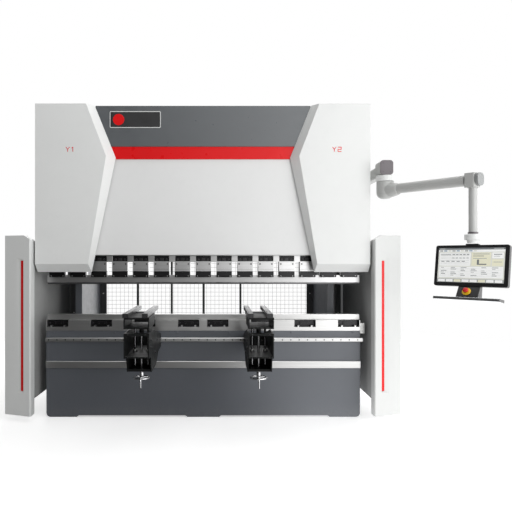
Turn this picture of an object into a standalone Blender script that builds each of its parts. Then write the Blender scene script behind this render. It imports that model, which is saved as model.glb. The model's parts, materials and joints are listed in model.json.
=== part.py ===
"""Hydraulic press brake, about 3 m of bending length, as an assembly of separate parts.

Frame of the model: metres, +Z up, X along the bending line, +Y towards the rear.
The origin is on the floor, under the middle of the bending line.
"""
import math

import bmesh
import bpy
from mathutils import Matrix, Vector

# ---------------------------------------------------------------- dimensions
GAP = 0.0003            # clearance between parts that touch
HALF = 1.525            # half of the bending length
TABLE_HALF = 1.51
TABLE_FRONT = -0.10
TABLE_BACK = 0.05
TABLE_TOP = 0.83
BEAM_TOP = 0.932
RAIL_TOP = 0.981
RAIL_HALF_WIDTH = 0.03
PUNCH_TIP = 1.275
PUNCH_TOP = 1.3632
CLAMP_BOTTOM = 1.344
CLAMP_BAR_LOW = 1.4915
CLAMP_BAR_TOP = 1.5585
CLAMP_COUNT = 15
CLAMP_PITCH = 0.2027
CLAMP_WIDTH = 0.152
RAM_FRONT = -0.05
RAM_BACK = 0.03
RAM_SHOULDER = 2.08
RAM_HEAD = 2.70
PANEL_FRONT = -0.153
FRAME_IN = 1.29
FRAME_OUT = 1.36
FRAME_BACK = 1.50
FRAME_TOP = 2.55
THROAT_BACK = 0.40
THROAT_TOP = 1.62
COVER_FRONT = -0.25
COVER_MID = -0.172
COVER_BACK = 0.45
COVER_TOP = 2.975
COVER_OUT = 1.568
COVER_SHEET = 0.005
FASCIA_LOW = 2.588
BAND_LOW = 2.469
CYL_X = 1.32
CYL_Y = -0.035
CYL_R = 0.125
ROD_R = 0.055
ARM_X = {"left": -0.507, "right": 0.491}
ARM_RAIL_LOW, ARM_RAIL_TOP, ARM_RAIL_FRONT = 0.727, 0.765, -0.125
WHEEL_Y = -0.70
WHEEL_Z = 0.510
HINGE_X, HINGE_Y = 1.600, 1.012
PENDANT_BASE = (1.69, 0.55)
PENDANT_ELBOW = (1.691, -0.30)
PENDANT_END = (2.206, -0.95)
PANEL_YAW = math.radians(-45)
PANEL_TILT = math.radians(-9)
PANEL_W, PANEL_H, PANEL_T = 0.575, 0.335, 0.055

# ---------------------------------------------------------------- start clean
for ob in list(bpy.data.objects):
    bpy.data.objects.remove(ob, do_unlink=True)


# ---------------------------------------------------------------- materials
def material(name, color, rough, metal):
    m = bpy.data.materials.new(name)
    m.use_nodes = True
    p = m.node_tree.nodes["Principled BSDF"]
    p.inputs["Base Color"].default_value = (*color, 1.0)
    p.inputs["Roughness"].default_value = rough
    p.inputs["Metallic"].default_value = metal
    m.diffuse_color = (*color, 1.0)
    return m


# ---------------------------------------------------------------- mesh helpers
def mesh_object(name, bm):
    bmesh.ops.remove_doubles(bm, verts=bm.verts, dist=1e-6)
    bmesh.ops.recalc_face_normals(bm, faces=bm.faces)
    me = bpy.data.meshes.new(name)
    bm.to_mesh(me)
    bm.free()
    ob = bpy.data.objects.new(name, me)
    bpy.context.scene.collection.objects.link(ob)
    return ob


def prism(pts, axis, lo, hi, name="tmp"):
    """A polygon extruded along an axis. X: points are (y, z); Y: (x, z); Z: (x, y)."""
    bm = bmesh.new()

    def place(p, t):
        if axis == "X":
            return (t, p[0], p[1])
        if axis == "Y":
            return (p[0], t, p[1])
        return (p[0], p[1], t)

    face = bm.faces.new([bm.verts.new(place(p, lo)) for p in pts])
    out = bmesh.ops.extrude_face_region(bm, geom=[face])
    move = Vector(place((0, 0), hi - lo))
    bmesh.ops.translate(
        bm, vec=move, verts=[v for v in out["geom"] if isinstance(v, bmesh.types.BMVert)]
    )
    return mesh_object(name, bm)


def box(x0, x1, y0, y1, z0, z1, name="tmp"):
    x0, x1 = min(x0, x1), max(x0, x1)
    return prism([(x0, y0), (x1, y0), (x1, y1), (x0, y1)], "Z", z0, z1, name)


def rod(p0, p1, r, n=20, r2=None, name="tmp"):
    """A round bar, or a cone, between two points."""
    p0, p1 = Vector(p0), Vector(p1)
    d = p1 - p0
    bm = bmesh.new()
    bmesh.ops.create_cone(
        bm, cap_ends=True, segments=n, radius1=r, radius2=r if r2 is None else r2,
        depth=d.length,
    )
    turn = d.to_track_quat("Z", "Y").to_matrix().to_4x4()
    bmesh.ops.transform(
        bm, matrix=Matrix.Translation((p0 + p1) / 2) @ turn, verts=bm.verts
    )
    ob = mesh_object(name, bm)
    return ob


def lathe(profile, centre, n=28, name="tmp"):
    """A closed (radius, z) outline turned about the vertical axis through centre."""
    bm = bmesh.new()
    rings = []
    for k in range(n):
        a = 2 * math.pi * k / n
        rings.append(
            [
                bm.verts.new(
                    (centre[0] + r * math.cos(a), centre[1] + r * math.sin(a), z)
                )
                for r, z in profile
            ]
        )
    m = len(profile)
    for k in range(n):
        a, b = rings[k], rings[(k + 1) % n]
        for i in range(m):
            j = (i + 1) % m
            if profile[i][0] < 1e-9 and profile[j][0] < 1e-9:
                continue          # this edge lies on the axis
            bm.faces.new([a[i], b[i], b[j], a[j]])
    bmesh.ops.remove_doubles(bm, verts=bm.verts, dist=1e-6)
    bmesh.ops.dissolve_degenerate(bm, edges=bm.edges, dist=1e-7)
    return mesh_object(name, bm)


def hull(points, name="tmp"):
    bm = bmesh.new()
    vs = [bm.verts.new(p) for p in points]
    out = bmesh.ops.convex_hull(bm, input=vs)
    spare = [g for g in out["geom_interior"] + out["geom_unused"]
             if isinstance(g, bmesh.types.BMVert)]
    if spare:
        bmesh.ops.delete(bm, geom=list(set(spare)), context="VERTS")
    bmesh.ops.dissolve_limit(bm, angle_limit=math.radians(0.5), verts=bm.verts,
                             edges=bm.edges)
    return mesh_object(name, bm)


def bake(ob):
    """Apply what the modifiers make to the object's own mesh."""
    bpy.context.view_layer.update()
    dg = bpy.context.evaluated_depsgraph_get()
    me = bpy.data.meshes.new_from_object(ob.evaluated_get(dg))
    ob.modifiers.clear()
    ob.data = me
    return ob


def combine(base, adds=(), cuts=()):
    """Join pieces to a base, then cut others from it."""
    for kind, group in (("UNION", adds), ("DIFFERENCE", cuts)):
        for other in group:
            mod = base.modifiers.new(kind.title(), "BOOLEAN")
            mod.operation = kind
            mod.solver = "EXACT"
            mod.object = other
            bake(base)
            bpy.data.objects.remove(other, do_unlink=True)
    return base


def mirrored(ob, name):
    """The same shape on the other side of the machine."""
    bm = bmesh.new()
    bm.from_mesh(ob.data)
    bmesh.ops.scale(bm, vec=(-1, 1, 1), verts=bm.verts)
    bmesh.ops.reverse_faces(bm, faces=bm.faces)
    return mesh_object(name, bm)


def round_box_pts(x0, x1, y0, y1, r, n=4):
    """The outline of a rectangle with rounded corners."""
    pts = []
    for cx, cy, a0 in ((x1 - r, y0 + r, -90), (x1 - r, y1 - r, 0),
                       (x0 + r, y1 - r, 90), (x0 + r, y0 + r, 180)):
        for k in range(n + 1):
            a = math.radians(a0 + 90 * k / n)
            pts.append((cx + r * math.cos(a), cy + r * math.sin(a)))
    return pts


def arc(cx, cy, r, a0, a1, n):
    return [
        (cx + r * math.cos(math.radians(a0 + (a1 - a0) * k / n)),
         cy + r * math.sin(math.radians(a0 + (a1 - a0) * k / n)))
        for k in range(n + 1)
    ]


def offset_polygon(pts, dists):
    """Move each edge of a convex or concave polygon inwards by its own distance."""
    area = sum(
        pts[i][0] * pts[(i + 1) % len(pts)][1] - pts[(i + 1) % len(pts)][0] * pts[i][1]
        for i in range(len(pts))
    )
    side = 1 if area > 0 else -1
    lines = []
    for i, d in enumerate(dists):
        (x0, y0), (x1, y1) = pts[i], pts[(i + 1) % len(pts)]
        ln = math.hypot(x1 - x0, y1 - y0)
        nx, ny = -(y1 - y0) / ln * side, (x1 - x0) / ln * side
        lines.append((x0 + nx * d, y0 + ny * d, x1 - x0, y1 - y0))
    out = []
    for i in range(len(pts)):
        ax, ay, adx, ady = lines[i - 1]
        bx, by, bdx, bdy = lines[i]
        det = adx * bdy - ady * bdx
        t = ((bx - ax) * bdy - (by - ay) * bdx) / det
        out.append((ax + adx * t, ay + ady * t))
    return out


def loft(loops, name="tmp"):
    """Closed body through loops of points (x, y, z), capped at both ends."""
    bm = bmesh.new()
    rows = [[bm.verts.new(p) for p in loop] for loop in loops]
    n = len(rows[0])
    for a, b in zip(rows, rows[1:]):
        for i in range(n):
            j = (i + 1) % n
            bm.faces.new([a[i], a[j], b[j], b[i]])
    bm.faces.new(rows[0])
    bm.faces.new(list(reversed(rows[-1])))
    bmesh.ops.triangulate(bm, faces=[f for f in bm.faces if len(f.verts) == 4])
    return mesh_object(name, bm)


NODES = []


def node(ob, name, mat, parent=None, smooth=False):
    """Name a finished piece, give it its material and hang it on its empty."""
    ob.name = name
    ob.data.name = name
    ob.data.materials.clear()
    ob.data.materials.append(mat)
    for p in ob.data.polygons:
        p.material_index = 0
    if smooth:
        ob.data.shade_smooth()
        ob.data.set_sharp_from_angle(angle=math.radians(35))
    if parent:
        # the piece's own origin goes to the joint's axis
        ob.data.transform(Matrix.Translation(-Vector(parent["at"])))
        ob.parent = parent
    NODES.append(name)
    return ob


def axis_empty(name, at, parent=None):
    e = bpy.data.objects.new(name, None)
    bpy.context.scene.collection.objects.link(e)
    e.empty_display_size = 0.1
    e["at"] = list(at)
    if parent:
        e.parent = parent
        e.location = Vector(at) - Vector(parent["at"])
    else:
        e.location = at
    return e


# ---------------------------------------------------------------- finishes
WHITE = material("white_paint", (0.78, 0.79, 0.78), 0.4, 0.0)
CHARCOAL = material("charcoal_paint", (0.10, 0.105, 0.115), 0.45, 0.0)
DARK = material("dark_paint", (0.045, 0.048, 0.05), 0.5, 0.0)
RED = material("red_paint", (0.60, 0.01, 0.012), 0.4, 0.0)
STEEL = material("ground_steel", (0.42, 0.42, 0.41), 0.35, 1.0)
CHROME = material("chromed_steel", (0.8, 0.8, 0.8), 0.1, 1.0)
BLACK = material("black_plastic", (0.012, 0.012, 0.013), 0.45, 0.0)
GREY = material("grey_cast", (0.36, 0.37, 0.36), 0.5, 0.0)
PALE = material("pale_plastic", (0.72, 0.73, 0.72), 0.45, 0.0)
SCREEN = material("screen_glass", (0.62, 0.63, 0.62), 0.2, 0.0)
YELLOW = material("yellow_plastic", (0.85, 0.60, 0.02), 0.4, 0.0)
ALU = material("aluminium", (0.55, 0.56, 0.57), 0.35, 1.0)
WIRE = material("wire_mesh", (0.30, 0.30, 0.31), 0.45, 0.6)
MOTOR = material("motor_paint", (0.20, 0.22, 0.24), 0.5, 0.0)

# ================================================================ fixed frame
# side frames: thick C plates with the throat open to the front and a slideway for the ram
throat = (
    [(0.0503, 0.0), (FRAME_BACK, 0.0), (FRAME_BACK, 2.05), (1.25, FRAME_TOP),
     (0.13, FRAME_TOP), (0.13, 2.12), (0.06, 2.12), (0.06, 2.07),
     (RAM_BACK + 0.0008, 2.06), (RAM_BACK + 0.0008, 1.67), (0.06, 1.66), (0.06, THROAT_TOP)]
    + arc(THROAT_BACK - 0.20, THROAT_TOP - 0.20, 0.20, 90, 0, 6)
    + arc(THROAT_BACK - 0.10, 0.86 + 0.10, 0.10, 0, -90, 4)
    + [(0.0503, 0.86)]
)
side = prism(throat, "X", FRAME_IN, FRAME_OUT)
node(side, "right_side_frame", CHARCOAL)
node(mirrored(side, "left_side_frame"), "left_side_frame", CHARCOAL)

# table plate: stands on three pads, rounded lower corners
R = 0.04
foot = (
    [(-0.155, 0.0), (0.155, 0.0), (0.170, 0.015), (1.200, 0.015), (1.215, 0.0)]
    + arc(TABLE_HALF - R, R, R, -90, 0, 4)
    + [(TABLE_HALF, TABLE_TOP), (-TABLE_HALF, TABLE_TOP)]
    + arc(-TABLE_HALF + R, R, R, 180, 270, 4)
    + [(-1.215, 0.0), (-1.200, 0.015), (-0.170, 0.015)]
)
table = prism(foot, "Y", TABLE_FRONT, TABLE_BACK)
node(table, "table_plate", CHARCOAL)

# upper table beam with eight tool pockets, open at the top in front of the rail
beam = box(-TABLE_HALF, TABLE_HALF, TABLE_FRONT, TABLE_BACK, TABLE_TOP + GAP, BEAM_TOP)
cuts = []
for cx in (-1.40, -0.98, -0.563, -0.141, 0.141, 0.563, 0.98, 1.40):
    cuts.append(
        prism(
            [(cx - 0.1025, BEAM_TOP + 0.01), (cx - 0.1025, 0.866), (cx - 0.075, 0.866),
             (cx - 0.070, 0.881), (cx - 0.058, 0.881), (cx - 0.053, 0.866),
             (cx + 0.053, 0.866), (cx + 0.058, 0.881), (cx + 0.070, 0.881),
             (cx + 0.075, 0.866), (cx + 0.1025, 0.866), (cx + 0.1025, BEAM_TOP + 0.01)],
            "Y", TABLE_FRONT - 0.01, TABLE_FRONT + 0.05,
        )
    )
node(combine(beam, cuts=cuts), "table_beam", STEEL)

# die rail with a tenon groove along its top
rail = box(-1.52, 1.52, -RAIL_HALF_WIDTH, RAIL_HALF_WIDTH, BEAM_TOP + GAP, RAIL_TOP)
groove = box(-1.6, 1.6, -0.0065, 0.0065, RAIL_TOP - 0.014, RAIL_TOP + 0.01)
node(combine(rail, cuts=[groove]), "die_rail", STEEL)

# crowning drive at the right end of the table
end = prism(round_box_pts(-0.09, 0.04, 0.80, 0.905, 0.008, 2), "X",
            TABLE_HALF + GAP + 0.002, 1.557)
node(end, "crowning_end_block", STEEL)

# rails on the table front for the support arms
node(
    prism([(-0.1003, ARM_RAIL_LOW), (-0.1003, ARM_RAIL_TOP), (-0.121, ARM_RAIL_TOP),
           (ARM_RAIL_FRONT, ARM_RAIL_TOP - 0.004), (ARM_RAIL_FRONT, ARM_RAIL_LOW + 0.004),
           (-0.121, ARM_RAIL_LOW)], "X", -TABLE_HALF, 1.53),
    "upper_arm_rail", STEEL)
node(
    prism([(-0.1003, 0.4715), (-0.1003, 0.539), (-0.112, 0.539), (-0.115, 0.536),
           (-0.115, 0.4745), (-0.112, 0.4715)], "X", -TABLE_HALF, TABLE_HALF),
    "lower_arm_rail", STEEL)

# rear tie between the side frames
node(box(-FRAME_IN + GAP, FRAME_IN - GAP, 1.40, 1.46, 0.10, 0.55), "rear_cross_tie", CHARCOAL)

# hydraulic tank across the top of the frames, with a lid that stands proud
tank = box(-FRAME_IN + GAP, FRAME_IN - GAP, 0.36, 1.10, 2.10, 2.50)
lid = box(-1.24, 1.24, 0.40, 1.06, 2.49, 2.53)
oil = box(-FRAME_IN + 0.008, FRAME_IN - 0.008, 0.368, 1.092, 2.108, 2.492)
filler = rod((-0.60, 0.73, 2.40), (-0.60, 0.73, 2.60), 0.035, 16)
node(combine(tank, adds=[lid], cuts=[oil, filler]), "hydraulic_tank", CHARCOAL)

# pump motor standing on the tank, with its flange
motor = lathe([(0.0, 2.53 + GAP), (0.15, 2.53 + GAP), (0.15, 2.555), (0.12, 2.555),
               (0.12, 2.84), (0.105, 2.90), (0.0, 2.90)], (0.35, 0.73), 28)
term = box(0.40, 0.52, 0.67, 0.79, 2.64, 2.76)
node(combine(motor, adds=[term]), "pump_motor", MOTOR)

# hydraulic cylinders with their frame brackets; the bore takes the piston rod
cyl = lathe([(0.0, 2.15), (CYL_R, 2.15), (CYL_R, 2.20), (CYL_R - 0.012, 2.21),
             (CYL_R - 0.012, 2.69), (CYL_R, 2.70), (CYL_R, 2.75), (0.0, 2.75)],
            (CYL_X, CYL_Y), 32)
lug = box(CYL_X - 0.09, CYL_X + 0.09, 0.03, 0.13 - GAP, 2.36, 2.66)
cyl = combine(cyl, adds=[lug], cuts=[rod((CYL_X, CYL_Y, 2.10), (CYL_X, CYL_Y, 2.66), ROD_R + 0.0006, 32)])
node(cyl, "right_cylinder", STEEL, smooth=True)
node(mirrored(cyl, "left_cylinder"), "left_cylinder", STEEL, smooth=True)

# valve block on each cylinder with its valve bodies
vb = box(CYL_X - 0.09, CYL_X + 0.09, -0.10, 0.08, 2.75 + GAP, 2.86)
valves = [
    box(CYL_X - 0.07, CYL_X - 0.01, -0.14, -0.09, 2.78, 2.84),
    box(CYL_X + 0.01, CYL_X + 0.07, -0.14, -0.09, 2.78, 2.84),
    rod((CYL_X, -0.02, 2.85), (CYL_X, -0.02, 2.93), 0.03, 16),
]
vb = combine(vb, adds=valves)
node(vb, "right_valve_block", STEEL)
node(mirrored(vb, "left_valve_block"), "left_valve_block", STEEL)

# cylinder covers: bent sheet with a 45 degree bevel on its inner and lower edges
front_loop = [(COVER_OUT, 1.474), (COVER_OUT, COVER_TOP), (1.091, COVER_TOP),
              (0.904, 2.484), (1.072, 1.474)]
mid_loop = [(COVER_OUT, 1.397), (COVER_OUT, COVER_TOP), (1.026, COVER_TOP),
            (0.827, 2.480), (1.055, 1.397)]
t = COVER_SHEET
outer = loft([
    [(x, COVER_FRONT, z) for x, z in front_loop],
    [(x, COVER_MID, z) for x, z in mid_loop],
    [(x, COVER_BACK, z) for x, z in mid_loop],
])
# order of the edges: outer side, top, upper inner, lower inner, bottom
in_front = offset_polygon(front_loop, [t, t, 0.414 * t, 0.414 * t, 0.414 * t])
in_mid = offset_polygon(mid_loop, [t, t, 1.414 * t, 1.414 * t, 1.414 * t])
inner = loft([
    [(x, COVER_FRONT + t, z) for x, z in in_front],
    [(x, COVER_MID + 0.00001, z) for x, z in in_mid],
])
hollow = box(0.5, COVER_OUT - t, COVER_MID, COVER_BACK - t, 1.0, COVER_TOP - t)
rear_open = box(0.5, FRAME_OUT + 0.003, COVER_BACK - 0.02, COVER_BACK + 0.1, 1.0, COVER_TOP - t)
cover = combine(outer, cuts=[inner, hollow, rear_open])
node(cover, "right_cylinder_cover", WHITE)
node(mirrored(cover, "left_cylinder_cover"), "left_cylinder_cover", WHITE)

# top fascia: front plate, and a top plate that runs back between the covers
fascia = prism(
    [(-0.1715, FASCIA_LOW), (-0.1565, FASCIA_LOW), (-0.1565, 2.963), (0.43, 2.963),
     (0.43, COVER_TOP), (-0.1715, COVER_TOP)], "X", -1.020, 1.020)
node(fascia, "top_fascia", CHARCOAL)
node(box(-0.89, 0.89, -0.166, -0.1568, BAND_LOW, FASCIA_LOW - GAP), "red_band", RED)

# electrical cabinet on the right rear side
cab = box(FRAME_OUT + GAP, 1.80, 1.10, 1.58, 0.55, 2.05)
room = box(1.385, 1.81, 1.125, 1.555, 0.575, 2.025)
node(combine(cab, cuts=[room]), "electrical_cabinet", PALE)

# rear guard: posts, bars and coarse wire grid in one welded frame
posts = [box(-1.2897, -1.215, 1.285, 1.310, 0.58, 1.95),
         box(1.215, 1.2897, 1.285, 1.310, 0.58, 1.95)]
for cx in (-0.834, -0.424, -0.036, 0.410):
    posts.append(box(cx - 0.0125, cx + 0.0125, 1.285, 1.310, 0.59, 1.94))
rows = [box(-1.25, 1.25, 1.286, 1.309, 0.60, 0.64), box(-1.25, 1.25, 1.286, 1.309, 1.90, 1.94)]
wires = [box(-1.25, 1.25, 1.300, 1.306, z - 0.003, z + 0.003)
         for z in (0.90, 1.15, 1.40, 1.65)]
uprights = [box(x - 0.003, x + 0.003, 1.2985, 1.3075, 0.62, 1.92)
            for x in (-1.02, -0.63, -0.23, 0.19, 0.61, 1.02)]
guard = combine(rows[0], adds=posts + rows[1:] + wires + uprights)
node(guard, "rear_guard", WIRE)

# pendant bracket: plate on the side frame with a round seat for the first link
bx, by = PENDANT_BASE
plate = box(FRAME_OUT + GAP, bx, by - 0.07, by + 0.07, 2.19, 2.2895)
seat = rod((bx, by, 2.185), (bx, by, 2.29 - GAP), 0.078, 32)
flange = box(FRAME_OUT + GAP, FRAME_OUT + 0.02, by - 0.10, by + 0.10, 2.10, 2.38)
node(combine(plate, adds=[seat, flange]), "pendant_bracket", GREY)

# hinge posts of the guards
post = box(1.50, 1.56, HINGE_Y - 0.03, HINGE_Y + 0.03, 0.08, 1.72)
bits = [
    box(FRAME_OUT + GAP, 1.53, HINGE_Y - 0.025, HINGE_Y + 0.025, 0.30, 0.38),
    box(FRAME_OUT + GAP, 1.53, HINGE_Y - 0.025, HINGE_Y + 0.025, 1.42, 1.50),
]
for z in (0.30, 1.50):
    bits.append(box(1.55, HINGE_X, HINGE_Y - 0.008, HINGE_Y + 0.008, z + 0.005, z + 0.095))
    bits.append(rod((HINGE_X, HINGE_Y, z), (HINGE_X, HINGE_Y, z + 0.10), 0.018, 20))
post = combine(post, adds=bits)
node(post, "right_guard_post", DARK)
node(mirrored(post, "left_guard_post"), "left_guard_post", DARK)

# back gauge rails: a ladder of two rails on the rear of the table
ladder = box(-0.96, 0.96, TABLE_BACK + GAP, 0.10, 0.56, 0.64)
steps = [box(q * 0.90, q * 0.96, TABLE_BACK + 0.01, 1.06, 0.62, 0.70) for q in (-1, 1)]
steps.append(box(-0.93, 0.93, 1.01, 1.05, 0.62, 0.66))
node(combine(ladder, adds=steps), "gauge_rails", STEEL)

# ================================================================ ram
ram = axis_empty("ram_axis", (0, 0, CLAMP_BAR_TOP))
plate = prism(
    [(-HALF, CLAMP_BAR_TOP + GAP), (HALF, CLAMP_BAR_TOP + GAP), (HALF, RAM_SHOULDER - 0.03),
     (HALF - 0.03, RAM_SHOULDER), (1.15, RAM_SHOULDER), (1.12, RAM_SHOULDER + 0.03),
     (1.12, RAM_HEAD), (-1.12, RAM_HEAD), (-1.12, RAM_SHOULDER + 0.03),
     (-1.15, RAM_SHOULDER), (-HALF + 0.03, RAM_SHOULDER), (-HALF, RAM_SHOULDER - 0.03)],
    "Y", RAM_FRONT, RAM_BACK)
node(plate, "ram_plate", WHITE, ram)

panel = prism(
    [(PANEL_FRONT, CLAMP_BAR_TOP + 0.001), (RAM_FRONT - GAP, CLAMP_BAR_TOP + 0.001),
     (RAM_FRONT - GAP, 2.74), (PANEL_FRONT, 2.74)], "X", -1.10, 1.10)
back = box(-1.095, 1.095, PANEL_FRONT + 0.005, RAM_FRONT + 0.05, CLAMP_BAR_TOP + 0.006, 2.735)
node(combine(panel, cuts=[back]), "ram_panel", WHITE, ram)

for s, nm in ((1, "right_piston_rod"), (-1, "left_piston_rod")):
    p = lathe([(0.0, RAM_SHOULDER + GAP), (0.062, RAM_SHOULDER + GAP), (0.062, 2.11),
               (ROD_R, 2.115), (ROD_R, 2.62), (0.0, 2.62)], (s * CYL_X, CYL_Y), 32)
    node(p, nm, CHROME, ram, smooth=True)

# punch clamps: one bar with fifteen blocks; each has a lip in front of the punch
bar = box(-HALF, HALF, -0.040, 0.040, CLAMP_BAR_LOW, CLAMP_BAR_TOP)
profile = [(-0.050, 1.500), (-0.050, 1.400), (-0.056, 1.398), (-0.056, CLAMP_BOTTOM),
           (-0.0135, CLAMP_BOTTOM), (-0.0135, PUNCH_TOP + GAP), (0.045, PUNCH_TOP + GAP),
           (0.045, 1.500)]
blocks = []
for k in range(CLAMP_COUNT):
    cx = (k - (CLAMP_COUNT - 1) / 2) * CLAMP_PITCH
    blocks.append(prism(profile, "X", cx - CLAMP_WIDTH / 2, cx + CLAMP_WIDTH / 2))
node(combine(bar, adds=blocks), "punch_clamps", STEEL, ram)

node(
    prism([(-0.001, PUNCH_TIP), (0.001, PUNCH_TIP), (0.0130, 1.292), (0.0130, PUNCH_TOP),
           (-0.0130, PUNCH_TOP), (-0.0130, 1.292)], "X", -HALF, HALF),
    "punch_bar", STEEL, ram)

# ================================================================ guards
# front cover: bent sheet, slightly turned outwards, with a V recess for the red inlay
G_IN, G_OUT = 1.588, 1.860
GY_IN, GY_OUT = -0.320, -0.220
u = Vector((G_OUT - G_IN, GY_OUT - GY_IN)).normalized()
nrm = Vector((u.y, -u.x))          # outwards, to the front


def on_face(x, depth, z):
    s = (x - G_IN) / u.x
    return (G_IN + u.x * s - nrm.x * depth, GY_IN + u.y * s - nrm.y * depth, z)


def guard_section(e):
    """Outline in plan, moved inwards by e."""
    r = 0.018 - e
    pts = [(G_IN + e, -0.205 + (0.001 if e else 0))]
    pts += [(G_IN + 0.018 - r * math.cos(math.radians(a)),
             GY_IN + 0.026 - r * math.sin(math.radians(a))) for a in (0, 25, 50, 70)]
    c = on_face(G_OUT, e, 0)
    corner = (c[0] - e * (1.0 if e else 0), c[1] - e * 0.35)
    pts.append(corner)
    pts.append((G_OUT - e, -0.125))
    pts.append((G_OUT - 0.012 - e, -0.113 + e))
    if e:
        pts.append((G_OUT - 0.012 - e, -0.05))
        pts.append((G_IN + e, -0.05))
    return pts


SHEET = 0.004
body = prism([(G_IN, -0.205)] + guard_section(0)[1:5] + [on_face(G_OUT, 0, 0)[:2],
             (G_OUT, -0.125)], "Z", 0.063, 1.740)
core = prism([(G_IN + SHEET, -0.10)] + guard_section(SHEET)[1:5]
             + [(G_OUT - SHEET, on_face(G_OUT - SHEET, SHEET, 0)[1]), (G_OUT - SHEET, -0.05)],
             "Z", 0.063 + SHEET, 1.740 - SHEET)


def recess(grow, depth):
    lo, hi = 0.27 - grow, 1.54 + grow
    b0, b1 = 0.29 - grow, 1.507 + grow
    xa, xb, xc = 1.664 - grow, 1.6925 + grow * 0.5, 1.750 + grow
    return hull([
        on_face(xa, -0.01, lo + 0.015), on_face(xa, -0.01, hi - 0.025),
        on_face(xc, -0.0006, lo), on_face(xc, -0.0006, hi),
        on_face(xc, -0.01, lo), on_face(xc, -0.01, hi),
        on_face(xa, depth, b0), on_face(xa, depth, b1),
        on_face(xb, depth, b0), on_face(xb, depth, b1),
    ])


core = combine(core, cuts=[recess(SHEET, 0.020 + SHEET)])
shell = combine(body, cuts=[recess(0.0, 0.020), core])
# the upper inner corner of the cover falls away towards the side wall
wedge = prism([(G_IN - 0.05, 1.80), (G_IN - 0.05, 1.698 - 0.03), (G_IN, 1.698), (1.658, 1.740),
               (1.758, 1.80)], "Y", -0.40, 0.10)
shell = combine(shell, cuts=[wedge])
roof = hull([(G_IN, -0.21, 1.694), (G_IN, -0.29, 1.694), (G_IN, -0.21, 1.698), (G_IN, -0.29, 1.698)]
            + [(1.658, -0.21, 1.736), (1.658, -0.285, 1.736), (1.658, -0.21, 1.740), (1.658, -0.285, 1.740)]
            + [(1.612, -0.307, 1.7084), (1.612, -0.307, 1.7124), (1.594, -0.30, 1.6976), (1.594, -0.30, 1.7016)])
shell = combine(shell, adds=[roof])
shell_r = shell

wall = box(G_IN, G_IN + 0.006, -0.2025, HINGE_Y - 0.010, 0.215, 1.690)
ribs = [box(G_IN + 0.005, G_IN + 0.022, -0.175, 0.97, z - 0.015, z + 0.015) for z in (0.26, 0.95, 1.64)]
knuckles = []
for z in (0.4003, 1.3995):
    knuckles.append(rod((HINGE_X, HINGE_Y, z), (HINGE_X, HINGE_Y, z + 0.10), 0.018, 20))
notches = [box(G_IN - 0.01, G_IN + 0.03, 0.985, 1.05, 0.2797, 0.4003),
           box(G_IN - 0.01, G_IN + 0.03, 0.985, 1.05, 1.4995, 1.6203)]
wall = combine(wall, cuts=notches)
wall_r = combine(wall, adds=ribs + knuckles)

strip_r = hull([on_face(x, d, z) for x in (1.6655, 1.6905) for d in (0.0165, 0.0195)
                for z in (0.2925, 1.5045)])

guards = {}
for s, sd in ((1, "right"), (-1, "left")):
    ax = axis_empty(sd + "_guard_hinge", (s * HINGE_X, HINGE_Y, 0.9))
    guards[sd] = ax
    for src, nm, mat in ((shell_r, "guard_cover", WHITE), (wall_r, "guard_wall", DARK),
                         (strip_r, "guard_inlay", RED)):
        if s == -1:
            node(mirrored(src, sd + "_" + nm), sd + "_" + nm, mat, ax)
    
for src, nm, mat in ((shell_r, "guard_cover", WHITE), (wall_r, "guard_wall", DARK),
                     (strip_r, "guard_inlay", RED)):
    node(src, "right_" + nm, mat, guards["right"])

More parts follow.
